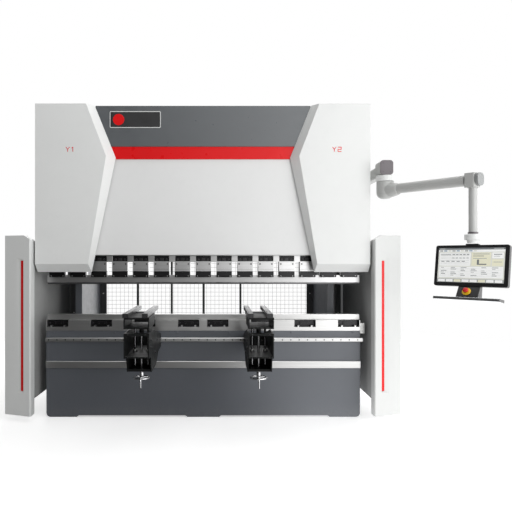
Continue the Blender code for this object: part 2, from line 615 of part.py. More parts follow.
# ================================================================ support arms
for sd, xc in ARM_X.items():
    slide = axis_empty(sd + "_arm_slide", (xc, -0.11, ARM_RAIL_TOP))
    lift = axis_empty(sd + "_arm_lift", (xc, WHEEL_Y, 0.95), slide)
    wheel = axis_empty(sd + "_handwheel_axis", (xc, WHEEL_Y, WHEEL_Z), slide)

    # carriage: back plate hooked over the rail, two tapered cheeks, shelf, lower block
    outline = [(-0.1258, 0.690), (-0.1258, 0.810), (-0.60, 0.900), (-0.72, 0.925),
               (-0.995, 0.925), (-0.995, 0.725), (-0.88, 0.715), (-0.83, 0.585),
               (-0.52, 0.585), (-0.34, 0.670)]
    cheek_l = prism(outline, "X", xc - 0.1025, xc - 0.0925)
    cheek_r = prism(outline, "X", xc + 0.0925, xc + 0.1025)
    parts = [
        cheek_r,
        box(xc - 0.0935, xc + 0.0935, -0.150, -0.1258, 0.692, 0.800),
        box(xc - 0.0935, xc + 0.0935, -0.151, -0.1008, ARM_RAIL_TOP + GAP, 0.800),
        box(xc - 0.0935, xc + 0.0935, -0.995, -0.940, 0.905, 0.925),
        box(xc - 0.0935, xc + 0.0935, -0.995, -0.400, 0.725, 0.737),
        box(xc - 0.0935, xc + 0.0935, -0.825, -0.570, 0.586, 0.605),
        box(xc - 0.0935, xc + 0.0935, -0.590, -0.570, 0.600, 0.730),
    ]
    holes = [rod((xc + dx, WHEEL_Y, 0.55), (xc + dx, WHEEL_Y, 0.80), 0.0106, 16)
             for dx in (-0.055, 0.055)]
    holes.append(rod((xc, WHEEL_Y, 0.55), (xc, WHEEL_Y, 0.80), 0.0096, 16))
    node(combine(cheek_l, adds=parts, cuts=holes), sd + "_arm_carriage", DARK, slide)

    # lift frame: open box on two guide rods, with the nut of the height screw
    fr = box(xc - 0.1025, xc + 0.1025, -1.000, -0.620, 0.962, 1.052)
    window = box(xc - 0.0925, xc + 0.0925, -1.10, -0.50, 0.974, 1.037)
    fr = combine(fr, cuts=[window])
    adds = [rod((xc + dx, WHEEL_Y, 0.620), (xc + dx, WHEEL_Y, 0.966), 0.010, 16)
            for dx in (-0.055, 0.055)]
    adds.append(rod((xc, WHEEL_Y, 0.880), (xc, WHEEL_Y, 0.966), 0.020, 20))
    bore = rod((xc, WHEEL_Y, 0.86), (xc, WHEEL_Y, 1.00), 0.0096, 16)
    node(combine(fr, adds=adds, cuts=[bore]), sd + "_arm_frame", DARK, lift)

    # two rest bars tied by a cross plate behind the frame
    b1 = box(xc - 0.108, xc - 0.063, -1.020, -0.250, 1.052 + GAP, 1.086)
    b2 = box(xc + 0.048, xc + 0.093, -1.020, -0.250, 1.052 + GAP, 1.086)
    tie = box(xc - 0.108, xc + 0.093, -0.600, -0.520, 1.040, 1.060)
    node(combine(b1, adds=[b2, tie]), sd + "_arm_bars", ALU, lift)

    # handwheel with its screw; the crank handle points down
    ring = lathe([(0.0680 + 0.0070 * math.cos(math.radians(a)),
                   WHEEL_Z + 0.0070 * math.sin(math.radians(a))) for a in range(0, 360, 45)],
                 (xc, WHEEL_Y), 32)
    adds = [lathe([(0.0, WHEEL_Z - 0.012), (0.016, WHEEL_Z - 0.012), (0.018, WHEEL_Z + 0.01),
                   (0.018, WHEEL_Z + 0.045), (0.009, WHEEL_Z + 0.050), (0.009, 0.945),
                   (0.0, 0.945)], (xc, WHEEL_Y), 16)]
    for a in (30, 150, 270):
        c, s_ = math.cos(math.radians(a)), math.sin(math.radians(a))
        adds.append(rod((xc + 0.010 * c, WHEEL_Y + 0.010 * s_, WHEEL_Z + 0.004),
                        (xc + 0.0660 * c, WHEEL_Y + 0.0660 * s_, WHEEL_Z), 0.0045, 10))
    adds.append(rod((xc, WHEEL_Y - 0.068, WHEEL_Z), (xc, WHEEL_Y - 0.068, WHEEL_Z - 0.080),
                    0.0075, 12, 0.0095))
    node(combine(ring, adds=adds), sd + "_handwheel", CHROME, wheel, smooth=True)

# ================================================================ back gauge
gx = axis_empty("gauge_x_axis", (0, 0.54, 0.72))
gr = axis_empty("gauge_r_axis", (0, 0.54, 0.80), gx)
tube = box(-1.02, 1.02, 0.50, 0.58, 0.730, 0.780)
feet = [box(s * 0.88, s * 0.98, 0.46, 0.62, 0.70 + GAP, 0.735) for s in (-1, 1)]
holes = [rod((s * 0.75, 0.54, 0.70), (s * 0.75, 0.54, 0.80), 0.0156, 20) for s in (-1, 1)]
node(combine(tube, adds=feet, cuts=holes), "gauge_carriage", DARK, gx)
beam = box(-1.10, 1.10, 0.505, 0.575, 0.780 + GAP, 0.845)
legs = [rod((s * 0.75, 0.54, 0.56), (s * 0.75, 0.54, 0.79), 0.015, 20) for s in (-1, 1)]
node(combine(beam, adds=legs), "gauge_beam", ALU, gr)
for s, sd in ((-1, "left"), (1, "right")):
    fx = axis_empty(sd + "_finger_axis", (s * 0.35, 0.54, 0.85), gr)
    f = prism([(0.60, 0.845 + GAP), (0.60, 0.890), (0.36, 0.915), (0.26, 0.900), (0.24, 0.890),
               (0.24, 0.870), (0.30, 0.868), (0.32, 0.845 + GAP)], "X", s * 0.35 - 0.03, s * 0.35 + 0.03)
    node(f, sd + "_gauge_finger", STEEL, fx)

# ================================================================ cabinet door
dx = axis_empty("cabinet_door_hinge", (1.8125, 1.574, 1.3))
door = box(1.8006, 1.824, 1.105, 1.575, 0.555, 2.045)
dent = box(1.823, 1.83, 1.14, 1.16, 1.22, 1.38)
handle = box(1.82, 1.838, 1.142, 1.158, 1.23, 1.37)
node(combine(door, adds=[handle]), "cabinet_door", PALE, dx)
bpy.data.objects.remove(dent, do_unlink=True)

# ================================================================ pendant
base = axis_empty("pendant_base_axis", (*PENDANT_BASE, 2.34))
elbow = axis_empty("pendant_elbow_axis", (*PENDANT_ELBOW, 2.26), base)
swivel = axis_empty("panel_swivel_axis", (*PENDANT_END, 1.70), elbow)
tilt = axis_empty("panel_tilt_axis", (*PENDANT_END, 1.642), swivel)

# first link: tube along Y with a round rear hub and a square head
ex, ey = PENDANT_ELBOW
link = prism(round_box_pts(bx - 0.05, bx + 0.05, 2.2905, 2.395, 0.022, 3), "Y", ey, by)
hub = rod((bx, by, 2.2900), (bx, by, 2.41), 0.078, 32)
head = prism(round_box_pts(ex - 0.066, ex + 0.053, 2.2905, 2.425, 0.03, 4), "Y", ey - 0.075, ey + 0.09)
node(combine(link, adds=[hub, head]), "pendant_link", GREY, base)

# white swivel collar under the head
col = lathe([(0.0, 2.236), (0.0835, 2.236), (0.0835, 2.285), (0.079, 2.2900), (0.0, 2.2900)],
            PENDANT_ELBOW, 36)
node(col, "pendant_collar", PALE, elbow, smooth=True)

# lower elbow, arm tube, end elbow and drop tube
px_, py_ = PENDANT_END
d = Vector((px_ - ex, py_ - ey, 0)).normalized()
low = lathe([(0.0, 2.2355), (0.078, 2.2355), (0.078, 2.130), (0.066, 2.098), (0.040, 2.080),
             (0.0, 2.077)], PENDANT_ELBOW, 32)
stub = rod((ex, ey, 2.155), (ex + d.x * 0.140, ey + d.y * 0.140, 2.155), 0.070, 28, 0.050)
tube = rod((ex + d.x * 0.05, ey + d.y * 0.05, 2.160),
           (px_, py_, 2.160), 0.045, 24)
endb = rod((px_ - d.x * 0.055, py_ - d.y * 0.055, 2.160), (px_ + d.x * 0.065, py_ + d.y * 0.065, 2.160),
           0.060, 28)
drop = rod((px_, py_, 1.7245), (px_, py_, 2.160), 0.0335, 24)
sock = rod((px_, py_, 2.095), (px_, py_, 2.155), 0.042, 28, 0.054)
node(combine(low, adds=[stub, tube, endb, drop, sock]), "pendant_arm", GREY, elbow, smooth=True)

# white swivel collar over the panel, with its neck
neck = lathe([(0.0, 1.7242), (0.061, 1.7242), (0.065, 1.719), (0.065, 1.680), (0.061, 1.675),
              (0.048, 1.674), (0.044, 1.6505), (0.0, 1.6505)], PENDANT_END, 32)
node(neck, "panel_neck", PALE, swivel, smooth=True)

# control panel: everything below hangs from the neck, turned and tilted together
place = (Matrix.Translation((px_, py_, 1.642)) @ Matrix.Rotation(PANEL_YAW, 4, "Z")
         @ Matrix.Rotation(PANEL_TILT, 4, "X"))


def put(ob):
    """From the panel's own frame (x right, -y to the operator, z up) to the machine."""
    ob.data.transform(place)
    return ob


housing = prism(round_box_pts(-PANEL_W / 2, PANEL_W / 2, -0.012 - PANEL_H, -0.012, 0.016, 3), "Y",
                -PANEL_T / 2, PANEL_T / 2)
window = box(-0.2500, 0.2500, -PANEL_T / 2 - 0.01, -PANEL_T / 2 + 0.004, -0.012 - PANEL_H + 0.034, -0.012 - 0.026)
saddle = box(-0.05, 0.05, -0.020, 0.020, -0.02, 0.0)
node(put(combine(housing, adds=[saddle], cuts=[window])), "panel_housing", BLACK, tilt)
node(put(box(-0.2495, 0.2495, -PANEL_T / 2 + 0.0005, -PANEL_T / 2 + 0.0037,
             -0.012 - PANEL_H + 0.0345, -0.012 - 0.0265)), "panel_screen", SCREEN, tilt)
zb = -0.012 - PANEL_H
boxy = prism([(-0.022, zb - GAP), (0.022, zb - GAP), (0.022, zb - 0.105), (-0.066, zb - 0.105),
              (-0.066, zb - 0.085)], "X", -0.085, 0.085)
node(put(boxy), "control_box", BLACK, tilt)
# the emergency stop sits square on the sloping front of the box
s0, s1 = Vector((-0.022, zb - GAP)), Vector((-0.066, zb - 0.085))
sd_ = (s1 - s0).normalized()
out = Vector((sd_.y, -sd_.x))
if out.x > 0:
    out = -out
mid = s0 + (s1 - s0) * 0.52


def stud(a, b, r, r2=None, n=28):
    p, q = mid + out * a, mid + out * b
    return rod((-0.012, p.x, p.y), (-0.012, q.x, q.y), r, n, r2)


node(put(stud(0.0003, 0.006, 0.034)), "estop_collar", YELLOW, tilt)
press = axis_empty("estop_axis", tuple(place @ Vector((-0.012, mid.x, mid.y))), tilt)
cap = stud(0.018, 0.036, 0.0215, 0.0185)
stem = stud(0.0115, 0.020, 0.011)
node(put(combine(cap, adds=[stem])), "estop_button", RED, press)
tray = prism([(0.012, zb - 0.1055), (0.012, zb - 0.1175), (-0.100, zb - 0.1175),
              (-0.100, zb - 0.094), (-0.093, zb - 0.094), (-0.093, zb - 0.1055)], "X", -0.255, 0.255)
node(put(tray), "control_tray", ALU, tilt)

print(len(NODES), "nodes")
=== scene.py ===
"""Looks of the press brake: finishes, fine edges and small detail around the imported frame."""
import json
import math

import bmesh
import bpy
from mathutils import Matrix, Vector

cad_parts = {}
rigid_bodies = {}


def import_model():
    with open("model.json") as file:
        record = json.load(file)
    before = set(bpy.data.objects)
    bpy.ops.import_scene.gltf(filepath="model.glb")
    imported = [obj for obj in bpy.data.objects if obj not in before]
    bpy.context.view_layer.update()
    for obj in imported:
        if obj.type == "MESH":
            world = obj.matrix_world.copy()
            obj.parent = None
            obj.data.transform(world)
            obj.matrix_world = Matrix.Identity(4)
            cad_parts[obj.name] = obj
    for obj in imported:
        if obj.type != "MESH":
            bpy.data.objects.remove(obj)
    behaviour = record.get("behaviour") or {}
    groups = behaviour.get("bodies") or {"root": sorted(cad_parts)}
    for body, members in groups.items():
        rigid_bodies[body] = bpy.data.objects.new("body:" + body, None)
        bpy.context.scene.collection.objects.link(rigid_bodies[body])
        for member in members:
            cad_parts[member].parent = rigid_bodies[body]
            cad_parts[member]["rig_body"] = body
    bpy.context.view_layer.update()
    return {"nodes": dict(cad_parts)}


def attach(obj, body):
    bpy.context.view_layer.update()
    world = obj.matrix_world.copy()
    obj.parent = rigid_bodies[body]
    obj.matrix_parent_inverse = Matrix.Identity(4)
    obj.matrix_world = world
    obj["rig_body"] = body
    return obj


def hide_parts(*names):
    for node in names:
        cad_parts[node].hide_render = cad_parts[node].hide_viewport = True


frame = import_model()
NODES = frame["nodes"]
BODY = {n: o["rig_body"] for n, o in NODES.items()}


# ---------------------------------------------------------------- colour
def lin(*c):
    return tuple((v / 255 / 12.92) if v / 255 <= 0.04045 else ((v / 255 + 0.055) / 1.055) ** 2.4 for v in c)


def shade(c, k):
    return tuple(min(1.0, v * k) for v in c)


def principled(name, col, rough, metal=0.0):
    m = bpy.data.materials.new(name)
    m.use_nodes = True
    p = m.node_tree.nodes["Principled BSDF"]
    p.inputs["Base Color"].default_value = (*col, 1.0)
    p.inputs["Roughness"].default_value = rough
    p.inputs["Metallic"].default_value = metal
    m.diffuse_color = (*col, 1.0)
    return m, m.node_tree, p


def nd(nt, kind, **kw):
    n = nt.nodes.new(kind)
    for k, v in kw.items():
        if k in n.inputs:
            n.inputs[k].default_value = v
        else:
            setattr(n, k, v)
    return n


def coords(nt, scale=(1, 1, 1), rot=(0, 0, 0)):
    tc = nt.nodes.new("ShaderNodeTexCoord")
    mp = nt.nodes.new("ShaderNodeMapping")
    mp.inputs["Scale"].default_value = scale
    mp.inputs["Rotation"].default_value = rot
    nt.links.new(tc.outputs["Object"], mp.inputs["Vector"])
    return mp.outputs["Vector"]


def noise(nt, vec, scale, detail=3.0, rough=0.5):
    n = nt.nodes.new("ShaderNodeTexNoise")
    n.inputs["Scale"].default_value = scale
    n.inputs["Detail"].default_value = detail
    n.inputs["Roughness"].default_value = rough
    nt.links.new(vec, n.inputs["Vector"])
    return n.outputs["Fac"]


def remap(nt, fac, lo, hi, a=0.3, b=0.7):
    m = nt.nodes.new("ShaderNodeMapRange")
    m.inputs["From Min"].default_value = a
    m.inputs["From Max"].default_value = b
    m.inputs["To Min"].default_value = lo
    m.inputs["To Max"].default_value = hi
    nt.links.new(fac, m.inputs["Value"])
    return m.outputs["Result"]


def mixcol(nt, fac, c0, c1):
    m = nt.nodes.new("ShaderNodeMix")
    m.data_type = "RGBA"
    for s, c in ((6, c0), (7, c1)):
        if isinstance(c, tuple):
            m.inputs[s].default_value = (*c, 1.0)
        else:
            nt.links.new(c, m.inputs[s])
    nt.links.new(fac, m.inputs[0])
    return m.outputs[2]


def bump(nt, p, height, strength, dist):
    b = nt.nodes.new("ShaderNodeBump")
    b.inputs["Strength"].default_value = strength
    b.inputs["Distance"].default_value = dist
    nt.links.new(height, b.inputs["Height"])
    nt.links.new(b.outputs["Normal"], p.inputs["Normal"])


def zmask(nt, lo, hi):
    """1 below lo, 0 above hi, by height on the object."""
    tc = nt.nodes.new("ShaderNodeTexCoord")
    sx = nt.nodes.new("ShaderNodeSeparateXYZ")
    nt.links.new(tc.outputs["Object"], sx.inputs[0])
    m = nt.nodes.new("ShaderNodeMapRange")
    m.inputs["From Min"].default_value = lo
    m.inputs["From Max"].default_value = hi
    m.inputs["To Min"].default_value = 1.0
    m.inputs["To Max"].default_value = 0.0
    nt.links.new(sx.outputs["Z"], m.inputs["Value"])
    return m.outputs["Result"]


def mul(nt, a, b):
    m = nt.nodes.new("ShaderNodeMath")
    m.operation = "MULTIPLY"
    for i, v in enumerate((a, b)):
        if isinstance(v, (int, float)):
            m.inputs[i].default_value = v
        else:
            nt.links.new(v, m.inputs[i])
    return m.outputs[0]


def paint(name, col, rough=0.4, var=0.03, peel=0.25, grain=420.0, spec=0.5, coat=0.0, dust=None):
    """Sprayed and baked paint: orange peel, faint clouding, handled patches and floor dust."""
    m, nt, p = principled(name, col, rough)
    p.inputs["Specular IOR Level"].default_value = spec
    if coat:
        p.inputs["Coat Weight"].default_value = coat
        p.inputs["Coat Roughness"].default_value = 0.12
    v = coords(nt)
    cloud = noise(nt, v, 1.6, 5.0, 0.6)
    c = mixcol(nt, remap(nt, cloud, 0.0, 1.0), shade(col, 1 - var), shade(col, 1 + var))
    smudge = noise(nt, v, 14.0, 6.0, 0.65)
    c = mixcol(nt, remap(nt, smudge, 0.0, 0.10, 0.5, 0.85), c, shade(col, 0.8))
    if dust:
        speck = noise(nt, v, 55.0, 6.0, 0.7)
        fac = mul(nt, zmask(nt, 0.0, 0.14), remap(nt, speck, 0.0, 0.16, 0.35, 0.75))
        c = mixcol(nt, fac, c, dust)
    nt.links.new(c, p.inputs["Base Color"])
    nt.links.new(remap(nt, smudge, rough - 0.05, rough + 0.08), p.inputs["Roughness"])
    bump(nt, p, noise(nt, v, grain, 2.0, 0.5), peel, 0.0004)
    return m


def metal(name, col, rough=0.32, axis="X", var=0.06, lines=260.0, strength=0.07, met=1.0, stain=0.12):
    """Ground or brushed metal: fine lines along one axis, stain and oil variation."""
    m, nt, p = principled(name, col, rough, met)
    s = {"X": (1.5, lines, lines), "Y": (lines, 1.5, lines), "Z": (lines, lines, 1.5), "N": (60, 60, 60)}[axis]
    v = coords(nt, s)
    streak = noise(nt, v, 1.0, 4.0, 0.6)
    w = coords(nt)
    cloud = noise(nt, w, 5.0, 5.0, 0.6)
    c = mixcol(nt, remap(nt, streak, 0.0, 1.0, 0.35, 0.65), shade(col, 1 - var), shade(col, 1 + var))
    c = mixcol(nt, remap(nt, cloud, 0.0, stain, 0.5, 0.8), c, shade(col, 0.62))
    nt.links.new(c, p.inputs["Base Color"])
    r = noise(nt, w, 22.0, 5.0, 0.6)
    nt.links.new(remap(nt, r, max(0.04, rough - 0.012), rough + 0.018), p.inputs["Roughness"])
    bump(nt, p, streak, strength, 0.0002)
    return m


def moulded(name, col, rough=0.42, grain=900.0, strength=0.25, var=0.06, spec=0.5):
    """Moulded plastic or rubber: fine leather-like grain, soft patches of shine."""
    m, nt, p = principled(name, col, rough)
    p.inputs["Specular IOR Level"].default_value = spec
    v = coords(nt)
    vor = nt.nodes.new("ShaderNodeTexVoronoi")
    vor.inputs["Scale"].default_value = grain
    nt.links.new(v, vor.inputs["Vector"])
    big = noise(nt, v, 9.0, 5.0, 0.6)
    nt.links.new(mixcol(nt, remap(nt, big, 0.0, 1.0), shade(col, 1 - var), shade(col, 1 + var)), p.inputs["Base Color"])
    nt.links.new(remap(nt, big, rough - 0.07, rough + 0.09), p.inputs["Roughness"])
    bump(nt, p, vor.outputs["Distance"], strength, 0.0002)
    return m


def lit(name, col, glow, rough=0.18):
    """A screen element: lit colour with a faint pixel grid under clear glass."""
    m, nt, p = principled(name, col, rough)
    v = coords(nt)
    n = noise(nt, v, 1300.0, 1.0, 0.4)
    c = mixcol(nt, remap(nt, n, 0.0, 1.0), shade(col, 0.94), shade(col, 1.04))
    nt.links.new(c, p.inputs["Base Color"])
    nt.links.new(c, p.inputs["Emission Color"])
    p.inputs["Emission Strength"].default_value = glow
    p.inputs["Coat Weight"].default_value = 0.6
    p.inputs["Coat Roughness"].default_value = 0.08
    return m


DUST = lin(150, 148, 142)
M = {
    "white": paint("white_paint", (0.82, 0.83, 0.82), 0.42, 0.018, 0.22, dust=DUST),
    "panelwhite": paint("white_panel_paint", (0.82, 0.825, 0.82), 0.46, 0.015, 0.22),
    "charcoal": paint("charcoal_paint", (0.096, 0.104, 0.119), 0.36, 0.04, 0.22, spec=0.6, dust=DUST),
    "fascia": paint("fascia_paint", (0.086, 0.094, 0.101), 0.32, 0.03, 0.15, spec=0.8),
    "dark": paint("dark_paint", (0.040, 0.042, 0.044), 0.45, 0.08, 0.35),
    "wall": paint("guard_wall_paint", (0.35, 0.354, 0.35), 0.48, 0.05, 0.3, dust=DUST),
    # One guard paint in two copies: the right guard's copy is darkened as painted shade and the left guard's copy is
    # brightened as painted light, to even out the light falling from the right
    "guard": paint("guard_paint", (0.68, 0.69, 0.68), 0.42, 0.018, 0.22, dust=DUST),
    "guard_painted_light_left": paint("guard_paint_left_painted_light", (0.79, 0.80, 0.79), 0.42, 0.018, 0.22, dust=DUST),
    "arm": paint("arm_black_paint", (0.006, 0.0066, 0.0066), 0.46, 0.10, 0.30, spec=0.15),
    "red": paint("red_paint", (0.74, 0.002, 0.004), 0.30, 0.04, 0.12, spec=0.35),
    "steel": metal("ground_steel", (0.48, 0.48, 0.475), 0.30, "X", 0.04, 120, 0.012, stain=0.05),
    "steelz": metal("ground_steel_upright", (0.44, 0.44, 0.435), 0.36, "Z"),
    "steely": metal("ground_steel_crosswise", (0.44, 0.44, 0.435), 0.36, "Y"),
    "block": metal("clamp_steel", (0.54, 0.54, 0.54), 0.30, "X", 0.05, 120, 0.012, stain=0.04),
    "tool": metal("hardened_tool_steel", (0.42, 0.42, 0.42), 0.30, "X", 0.03, 120, 0.012, stain=0.03),
    "edge": metal("tool_edge_dark", (0.17, 0.17, 0.175), 0.32, "X", 0.03, 120, 0.012, stain=0.03),
    "chrome": metal("chromed_steel", (0.86, 0.86, 0.87), 0.10, "N", 0.03, 60, 0.03, stain=0.05),
    "wheel": metal("handwheel_steel", (0.58, 0.58, 0.59), 0.16, "N", 0.03, 60, 0.03, stain=0.05),
    "bolt": metal("blackened_bolt", (0.050, 0.050, 0.052), 0.38, "N", 0.2, 60, 0.3, met=0.8),
    "zinc": metal("zinc_bolt", (0.50, 0.50, 0.49), 0.36, "N", 0.15, 60, 0.2),
    "alu": metal("aluminium", (0.56, 0.57, 0.58), 0.34, "Y"),
    "bar": metal("rest_bar_metal", (0.20, 0.20, 0.205), 0.36, "Y"),
    "armbar": metal("arm_bar_metal", (0.105, 0.105, 0.109), 0.36, "Y"),
    "capgrey": moulded("grey_cap", lin(140, 142, 142), 0.42),
    "rod": metal("guide_rod_steel", (0.22, 0.22, 0.225), 0.20, "Z", 0.03, 200, 0.04),
    "alux": metal("aluminium_lengthwise", (0.60, 0.61, 0.62), 0.33, "X"),
    "cast": paint("grey_cast", (0.47, 0.475, 0.465), 0.46, 0.05, 0.55, 160.0),
    "capdark": moulded("plum_grey_cap", lin(92, 86, 90), 0.42),
    "black": moulded("black_plastic", (0.011, 0.011, 0.012), 0.40),
    # Near-black steel for the black lips, levers and small blocks; on pocket floors, pocket walls and slot strips it is
    # painted shade in the recesses
    "pocket": metal("black_steel_and_painted_recess_shade", (0.030, 0.030, 0.031), 0.30, "X", 0.06, 120, 0.012, stain=0.05),
    "rubber": moulded("black_rubber", (0.014, 0.014, 0.014), 0.62, 500.0, 0.4),
    "pale": moulded("pale_plastic", (0.80, 0.81, 0.80), 0.42, 700.0, 0.18, 0.03),
    "cab": paint("cabinet_paint", (0.62, 0.63, 0.63), 0.45, 0.02, 0.45, 300.0, dust=DUST),
    "yellow": moulded("yellow_plastic", (0.83, 0.52, 0.015), 0.36, 900.0, 0.15),
    "redp": moulded("red_plastic", (0.58, 0.012, 0.012), 0.32, 900.0, 0.12),
    "wire": metal("wire_mesh", (0.27, 0.27, 0.275), 0.42, "N", 0.15, 60, 0.2, met=0.5),
    "motor": paint("motor_paint", (0.17, 0.19, 0.21), 0.45, 0.06, 0.4, 220.0),
    "brass": metal("brass", (0.62, 0.46, 0.20), 0.30, "N", 0.1),
    "scr": lit("screen_light", lin(214, 215, 208), 0.30),
    "scr_dark": lit("screen_dark", lin(120, 124, 126), 0.15),
    "scr_line": lit("screen_line", lin(168, 171, 170), 0.20),
    "scr_warm": lit("screen_warm", lin(226, 224, 200), 0.27),
    "scr_white": lit("screen_white", lin(240, 241, 240), 0.30),
    "scr_blue": lit("screen_blue", lin(150, 168, 184), 0.2),
}


# ---------------------------------------------------------------- mesh kit
def close_up(name, bm, mats, body, bevel, seg, angle, replaces, weld):
    if weld:
        bmesh.ops.remove_doubles(bm, verts=bm.verts, dist=weld)
        bmesh.ops.dissolve_limit(bm, angle_limit=math.radians(0.6), verts=bm.verts, edges=bm.edges,
                                 delimit={"MATERIAL"})
    bmesh.ops.recalc_face_normals(bm, faces=bm.faces)
    me = bpy.data.meshes.new(name)
    bm.to_mesh(me)
    bm.free()
    for a in ("custom_normal",):
        if a in me.attributes:
            me.attributes.remove(me.attributes[a])
    for m in mats:
        me.materials.append(m)
    ob = bpy.data.objects.new(name, me)
    bpy.context.scene.collection.objects.link(ob)
    me.shade_smooth()
    if "sharp_edge" in me.attributes:
        me.attributes.remove(me.attributes["sharp_edge"])
    if bevel:
        mod = ob.modifiers.new("edge", "BEVEL")
        mod.width, mod.segments, mod.limit_method = bevel, seg, "ANGLE"
        mod.angle_limit = math.radians(angle)
        mod.use_clamp_overlap = True
        bpy.context.view_layer.update()
        dg = bpy.context.evaluated_depsgraph_get()
        fine = bpy.data.meshes.new_from_object(ob.evaluated_get(dg))
        fine.name = name
        ob.modifiers.clear()
        ob.data = fine
        me = fine
    me.shade_smooth()
    me.set_sharp_from_angle(angle=math.radians(42))
    mod = ob.modifiers.new("shade", "WEIGHTED_NORMAL")
    mod.keep_sharp = True
    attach(ob, body)
    if replaces:
        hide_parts(*replaces)
    return ob


def refine(node, mats, bevel=0.002, seg=2, pick=None, angle=28):
    """The CAD piece's own solid with fine rounded edges, clean faces and its finish."""
    bm = bmesh.new()
    bm.from_mesh(NODES[node].data)
    bmesh.ops.remove_doubles(bm, verts=bm.verts, dist=2e-5)
    mats = mats if isinstance(mats, (list, tuple)) else [mats]
    bm.normal_update()
    for f in bm.faces:
        f.material_index = pick(f.calc_center_median(), f.normal) if pick else 0
    bmesh.ops.dissolve_limit(bm, angle_limit=math.radians(0.6), verts=bm.verts, edges=bm.edges,
                             delimit={"MATERIAL"})
    return close_up(node + "_skin", bm, mats, BODY[node], bevel, seg, angle, (node,), 0)


class B:
    """One visible piece, gathered from closed solids."""

    def __init__(self, name):
        self.name, self.bm, self.mats = name, bmesh.new(), []

    def mi(self, mat):
        mat = M[mat] if isinstance(mat, str) else mat
        if mat not in self.mats:
            self.mats.append(mat)
        return self.mats.index(mat)

    def add(self, verts, faces, mat, mx=None):
        k = self.mi(mat)
        vs = [self.bm.verts.new(mx @ Vector(v) if mx else v) for v in verts]
        for f in faces:
            try:
                fc = self.bm.faces.new([vs[i] for i in f])
                fc.material_index = k
            except ValueError:
                pass
        return self

    def box(self, x0, x1, y0, y1, z0, z1, mat, mx=None):
        x0, x1, y0, y1, z0, z1 = min(x0, x1), max(x0, x1), min(y0, y1), max(y0, y1), min(z0, z1), max(z0, z1)
        v = [(x0, y0, z0), (x1, y0, z0), (x1, y1, z0), (x0, y1, z0), (x0, y0, z1), (x1, y0, z1), (x1, y1, z1), (x0, y1, z1)]
        f = [(0, 3, 2, 1), (4, 5, 6, 7), (0, 1, 5, 4), (1, 2, 6, 5), (2, 3, 7, 6), (3, 0, 4, 7)]
        return self.add(v, f, mat, mx)

    def prism(self, pts, axis, lo, hi, mat, mx=None):
        def at(p, t):
            return {"X": (t, p[0], p[1]), "Y": (p[0], t, p[1]), "Z": (p[0], p[1], t)}[axis]
        n = len(pts)
        v = [at(p, lo) for p in pts] + [at(p, hi) for p in pts]
        f = [tuple(range(n)), tuple(range(2 * n - 1, n - 1, -1))]
        f += [(i, (i + 1) % n, (i + 1) % n + n, i + n) for i in range(n)]
        return self.add(v, f, mat, mx)

    def lathe(self, prof, at, axis, mat, n=32, mx=None):
        """(radius, height) outline from axis to axis, turned about a line."""
        turn = Vector(axis).normalized().to_track_quat("Z", "Y").to_matrix().to_4x4()
        t = Matrix.Translation(Vector(at)) @ turn
        if mx:
            t = mx @ t
        v, f, rows = [], [], []
        for r, h in prof:
            if r < 1e-7:
                rows.append([len(v)])
                v.append((0, 0, h))
            else:
                rows.append(list(range(len(v), len(v) + n)))
                v += [(r * math.cos(2 * math.pi * k / n), r * math.sin(2 * math.pi * k / n), h) for k in range(n)]
        closed = prof[0][0] > 1e-7
        for a, b in zip(rows, rows[1:] + ([rows[0]] if closed else [])):
            for k in range(n):
                j = (k + 1) % n
                if len(a) == 1 and len(b) == 1:
                    break
                if len(a) == 1:
                    f.append((a[0], b[j], b[k]))
                elif len(b) == 1:
                    f.append((a[k], a[j], b[0]))
                else:
                    f.append((a[k], a[j], b[j], b[k]))
        return self.add(v, f, mat, t)

    def tube(self, pts, r, mat, n=16, mx=None, r2=None):
        pts = [Vector(p) for p in pts]
        up = None
        rows, v = [], []
        for i, p in enumerate(pts):
            d = (pts[min(i + 1, len(pts) - 1)] - pts[max(i - 1, 0)]).normalized()
            if up is None:
                up = d.orthogonal().normalized()
            else:
                up = (up - d * up.dot(d)).normalized()
            side = d.cross(up)
            q = r if r2 is None else r + (r2 - r) * i / (len(pts) - 1)
            rows.append(list(range(len(v), len(v) + n)))
            v += [p + (up * math.cos(2 * math.pi * k / n) + side * math.sin(2 * math.pi * k / n)) * q for k in range(n)]
        f = [tuple(reversed(rows[0])), tuple(rows[-1])]
        for a, b in zip(rows, rows[1:]):
            f += [(a[k], a[(k + 1) % n], b[(k + 1) % n], b[k]) for k in range(n)]
        return self.add(v, f, mat, mx)

    def socket(self, at, axis, r, h, mat="bolt", n=18, mx=None):
        """Socket head screw: chamfered head with a drive recess."""
        c = r * 0.15
        return self.lathe([(0, -h * 0.05), (r, -h * 0.05), (r, h - c), (r - c, h), (r * 0.55, h), (r * 0.5, h * 0.45), (0, h * 0.4)],
                          at, axis, mat, n, mx)

    def hexbolt(self, at, axis, r, h, mat="zinc", mx=None):
        """Hexagon head on a washer."""
        self.lathe([(0, -0.0005), (r * 1.35, -0.0005), (r * 1.35, h * 0.22), (r * 1.25, h * 0.26), (0, h * 0.26)], at, axis, mat, 24, mx)
        return self.lathe([(0, h * 0.2), (r, h * 0.2), (r, h * 0.92), (r * 0.86, h), (0, h * 1.02)], at, axis, mat, 6, mx)

    def done(self, body, bevel=0.001, seg=2, angle=35, replaces=(), weld=0):
        return close_up(self.name, self.bm, self.mats, body, bevel, seg, angle, replaces, weld)


